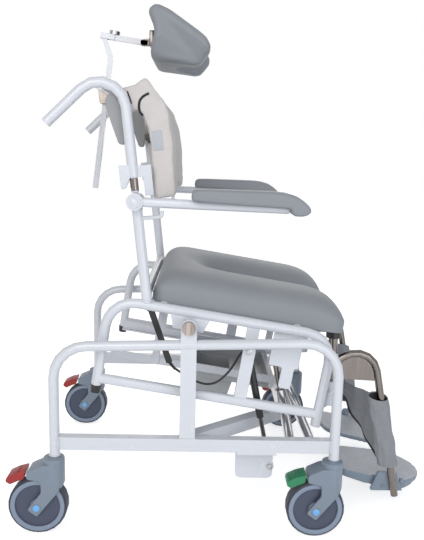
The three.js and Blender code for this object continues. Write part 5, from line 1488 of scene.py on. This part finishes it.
class WHEELCHAIR_OT_casters(bpy.types.Operator):
    """Make the forks and brake pedals of the four casters, with the axle plugs and wheel rings."""

    bl_idname = "wheelchair.casters"
    bl_label = "Casters"

    def execute(self, context):
        fork = self.fork_shape()
        for end, name, side in CASTERS:
            x, y = CASTER_X[end], side * TRACK_HALF
            label = f"{end}_{name}"
            self.fit_fork(label, fork, x, y)
            self.dress_wheel(label, x - TRAIL, y)
            self.fit_pedal(label, x, y)
        fork.free()
        return {"FINISHED"}

    def fork_shape(self):
        """The fork about its stem: slender arms, skirt, fender and cap, with the wheel's well cut out."""
        shape = bmesh.new()
        add_plate(shape, FORK_SIDE, -FORK_HALF, FORK_HALF, corner=0.005, rim=0.0018)
        turns = [math.pi * (i / 20 - 0.5) for i in range(21)]
        plan = [(-0.003 + FORK_HALF * math.cos(a), FORK_HALF * math.sin(a)) for a in turns]
        plan += [(-0.075, FORK_HALF), (-0.075, -FORK_HALF)]
        well = bmesh.new()
        bmesh.ops.create_cone(
            well,
            cap_ends=True,
            segments=96,
            radius1=WELL_RADIUS,
            radius2=WELL_RADIUS,
            depth=WELL_WIDTH,
            matrix=Matrix.Translation((-TRAIL, 0, AXLE_Z)) @ FLAT,
        )
        carve(shape, [("INTERSECT", prism(plan, 0.03, 0.17)), ("DIFFERENCE", well)])
        add_turned(shape, CAP, Matrix.Translation((-0.002, 0, 0)), 48)
        add_turned(shape, COLLAR, Matrix(), 32)
        add_turned(shape, rod(0.005, 0.165, 0.2035), Matrix(), 20)
        for out in (RIGHT, LEFT):
            place = along((0, out, 0), (-TRAIL, out * FORK_HALF, AXLE_Z))
            add_turned(shape, rod(0.006, -FORK_HALF, -0.001), place, 24)
            add_turned(shape, AXLE_HEAD, place, 32)
        return shape

    def fit_fork(self, label, fork, x, y):
        shape = fork.copy()
        bmesh.ops.translate(shape, verts=shape.verts, vec=(x, y, 0))
        made = piece("caster_fork_body_" + label, "caster_" + label, "caster_plastic")
        fill(made, shape, CRISP_ANGLE)
        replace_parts(made, f"caster_{label}_fork")
        shape = bmesh.new()
        for out in (RIGHT, LEFT):
            place = along((0, out, 0), (x - TRAIL, y + out * 0.0249, AXLE_Z))
            add_turned(shape, AXLE_PLUG, place, 28)
        fill(piece("axle_plugs_" + label, "caster_" + label, "hub_plug"), shape)

    def dress_wheel(self, label, x, y):
        rings, seams = bmesh.new(), bmesh.new()
        for out in (RIGHT, LEFT):
            place = along((0, out, 0), (x, y + out * 0.015, AXLE_Z))
            add_turned(rings, RIM_RING, place, 64)
            add_turned(rings, HUB_RING, place, 32)
            add_turned(seams, TYRE_SEAM, place, 60)
        fill(piece("wheel_rings_" + label, "wheel_" + label, "wheel_ring"), rings)
        fill(piece("tyre_seams_" + label, "wheel_" + label, "tyre"), seams)

    def fit_pedal(self, label, x, y):
        """The pedal with its four ribs; the front right one is the direction lock."""
        finish = "pedal_green" if label == "front_right" else "pedal_red"
        shape = bmesh.new()
        add_plate(shape, PEDAL_SIDE, -0.02, 0.02, corner=0.0028, rim=0.0022)
        for i in range(4):
            rib = axes(-0.0755 - 0.0062 * i, 0, 0.1401 - 0.0032 * i, -27)
            add_block(shape, (0.0024, 0.032, 0.002), rib, 0.0007)
        bmesh.ops.translate(shape, verts=shape.verts, vec=(x, y, 0))
        made = fill(piece("brake_pedal_" + label, "pedal_" + label, finish), shape, CRISP_ANGLE)
        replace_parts(made, f"caster_{label}_pedal")


# Frame fittings: weld beads, bolts, caps.


class WHEELCHAIR_OT_welds(bpy.types.Operator):
    """Run weld beads round the joints of the tubes and plates."""

    bl_idname = "wheelchair.welds"
    bl_label = "Weld beads"

    def execute(self, context):
        self.base()
        self.seat()
        self.hangers()
        return {"FINISHED"}

    def beads(self, name, body, finish, rings):
        shape = bmesh.new()
        for place, half_x, half_y, corner in rings:
            points = ring_points(place, half_x, half_y, corner)
            for i, point in enumerate(points):
                points[i] = point + (point - place.translation).normalized() * 0.0003 * math.sin(i * 2.4)
            absorb(shape, swept(points, sizes().weld_radius, True))
        fill(piece(name, body, finish), shape)

    def base(self):
        rings = []
        for side in (RIGHT, LEFT):
            y = side * TRACK_HALF
            for x in (-0.3535, 0.2195):
                rings.append((along((1, 0, 0), (x, y, 0.203)), 0.0145, 0.0105, 0.003))
            rings.append((along((0, 0, 1), (PIVOT_X, y, 0.2172)), 0.0167, 0.0093, 0.002))
            for x in CASTER_X.values():
                rings.append((along((0, 0, 1), (x, y, 0.1745)), *round_tube(FRAME_TUBE)))
        self.beads("weld_beads_base", "base", "frame_paint", rings)

    def seat(self):
        rings = []
        for side in (RIGHT, LEFT):
            y = side * POST_Y
            rings.append((SEAT @ along((0, 0, 1), (-0.0935, y, 0.031)), *round_tube(FRAME_TUBE)))
            for x in (-0.06, 0.23):
                rings.append((SEAT @ along((0, 1, 0), (x, side * 0.2345, 0.0193)), *round_tube(CROSS_TUBE)))
            rings.append((BACK @ along((0, 0, 1), (0, y, 0.2025)), *round_tube(FRAME_TUBE)))
            rings.append((BACK @ along((0, 1, 0), (0, side * 0.2335, 0.024)), *round_tube(CROSS_TUBE)))
        self.beads("weld_beads_seat", "seat", "frame_paint", rings)

    def hangers(self):
        for side, name in SIDES:
            at = Vector((HANGER_X + 0.0102, side * HANGER_Y, HANGER_Z + 0.092))
            rings = [(along((0.79, 0, 0.61), at), *round_tube(HANGER_TUBE))]
            self.beads("weld_beads_hanger_" + name, "leg_hanger_" + name, "stainless", rings)


class WHEELCHAIR_OT_fasteners(bpy.types.Operator):
    """Fit the bolts of the base and seat, the sleeves of the handles' spigots and the pivot plugs."""

    bl_idname = "wheelchair.fasteners"
    bl_label = "Fasteners"

    def execute(self, context):
        base = bmesh.new()
        add_bolt(base, along((0, -1, 0), (0.098953, -0.242, 0.13)), 0.0062, 0.0045)
        add_bolt(base, along((0, 1, 0), (0.098953, -0.236, 0.13)), 0.0062, 0.004)
        fill(piece("base_bolts", "base", "zinc"), base, BOLT_ANGLE)
        seat = bmesh.new()
        add_bolt(seat, along((0, -1, 0), (SPRING_HEAD.x, -0.2502, SPRING_HEAD.z)), 0.0058, 0.0035)
        fill(piece("seat_bolts", "seat", "zinc"), seat, BOLT_ANGLE)
        sleeves = bmesh.new()
        ring = [(0.0078, 0.0), (0.0084, 0.0006), (0.0084, 0.0249), (0.0078, 0.0255)]
        for side in (RIGHT, LEFT):
            add_turned(sleeves, ring, BACK @ Matrix.Translation((0, side * POST_Y, 0.241)), 40)
        # The sleeves' metal carries painted highlight and shade bands.
        fill(piece("handle_spigot_sleeves", "seat", "cap_metal"), sleeves)
        plug = [(0, 0), (0.0075, 0), (0.0072, 0.0012), (0.005, 0.0022), (0, 0.0026)]
        for side, name in SIDES:
            arm = bmesh.new()
            add_turned(arm, plug, along((0, side, 0), (ARM_X, side * 0.2833, ARM_Z)), 28)
            fill(piece("armrest_pivot_plug_" + name, "armrest_" + name, "frame_paint"), arm)
        return {"FINISHED"}


# Pan.


PAN_GRIP = mm(
    ((4, -52, 12), (-12, -50, 14), (-19, -30, 15), (-20, 0, 15), (-19, 30, 15), (-12, 50, 14), (4, 52, 12))
)


class WHEELCHAIR_OT_pan(bpy.types.Operator):
    """Add the carrying handle of the commode pan."""

    bl_idname = "wheelchair.pan"
    bl_label = "Commode pan"

    def execute(self, context):
        low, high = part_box("commode_pan")
        at = Vector((low[0] + 0.022, 0, high[2] - 0.022))
        handle = swept([at + p for p in smooth_line(PAN_GRIP, 5)], 0.0032)
        fill(piece("pan_handle", "pan", "pan_plastic"), handle)
        return {"FINISHED"}


PIECES = (
    WHEELCHAIR_OT_finishes,
    WHEELCHAIR_OT_stage,
    WHEELCHAIR_OT_cable,
    WHEELCHAIR_OT_seat_pad,
    WHEELCHAIR_OT_head_pad,
    WHEELCHAIR_OT_arm_pads,
    WHEELCHAIR_OT_back_cover,
    WHEELCHAIR_OT_calf_strap,
    WHEELCHAIR_OT_footplates,
    WHEELCHAIR_OT_casters,
    WHEELCHAIR_OT_welds,
    WHEELCHAIR_OT_fasteners,
    WHEELCHAIR_OT_pan,
)


class WHEELCHAIR_PT_panel(bpy.types.Panel):
    """The chair's sizes, colours and pieces in the sidebar."""

    bl_idname = "WHEELCHAIR_PT_panel"
    bl_label = "Wheelchair"
    bl_space_type = "VIEW_3D"
    bl_region_type = "UI"
    bl_category = "Wheelchair"

    def draw(self, context):
        for group in (context.scene.chair_sizes, context.scene.chair_colours):
            box = self.layout.box()
            for name in group.__annotations__:
                box.prop(group, name)
        for made in PIECES:
            self.layout.operator(made.bl_idname)


CLASSES = (ChairSizes, ChairColours, *PIECES, WHEELCHAIR_PT_panel)


def register():
    for made in CLASSES:
        bpy.utils.register_class(made)
    bpy.types.Scene.chair_sizes = PointerProperty(type=ChairSizes)
    bpy.types.Scene.chair_colours = PointerProperty(type=ChairColours)


def unregister():
    del bpy.types.Scene.chair_colours
    del bpy.types.Scene.chair_sizes
    for made in reversed(CLASSES):
        bpy.utils.unregister_class(made)


def main():
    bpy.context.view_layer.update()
    register()
    for made in PIECES:
        group, name = made.bl_idname.split(".")
        getattr(getattr(bpy.ops, group), name)()


if __name__ == "__main__":
    main()
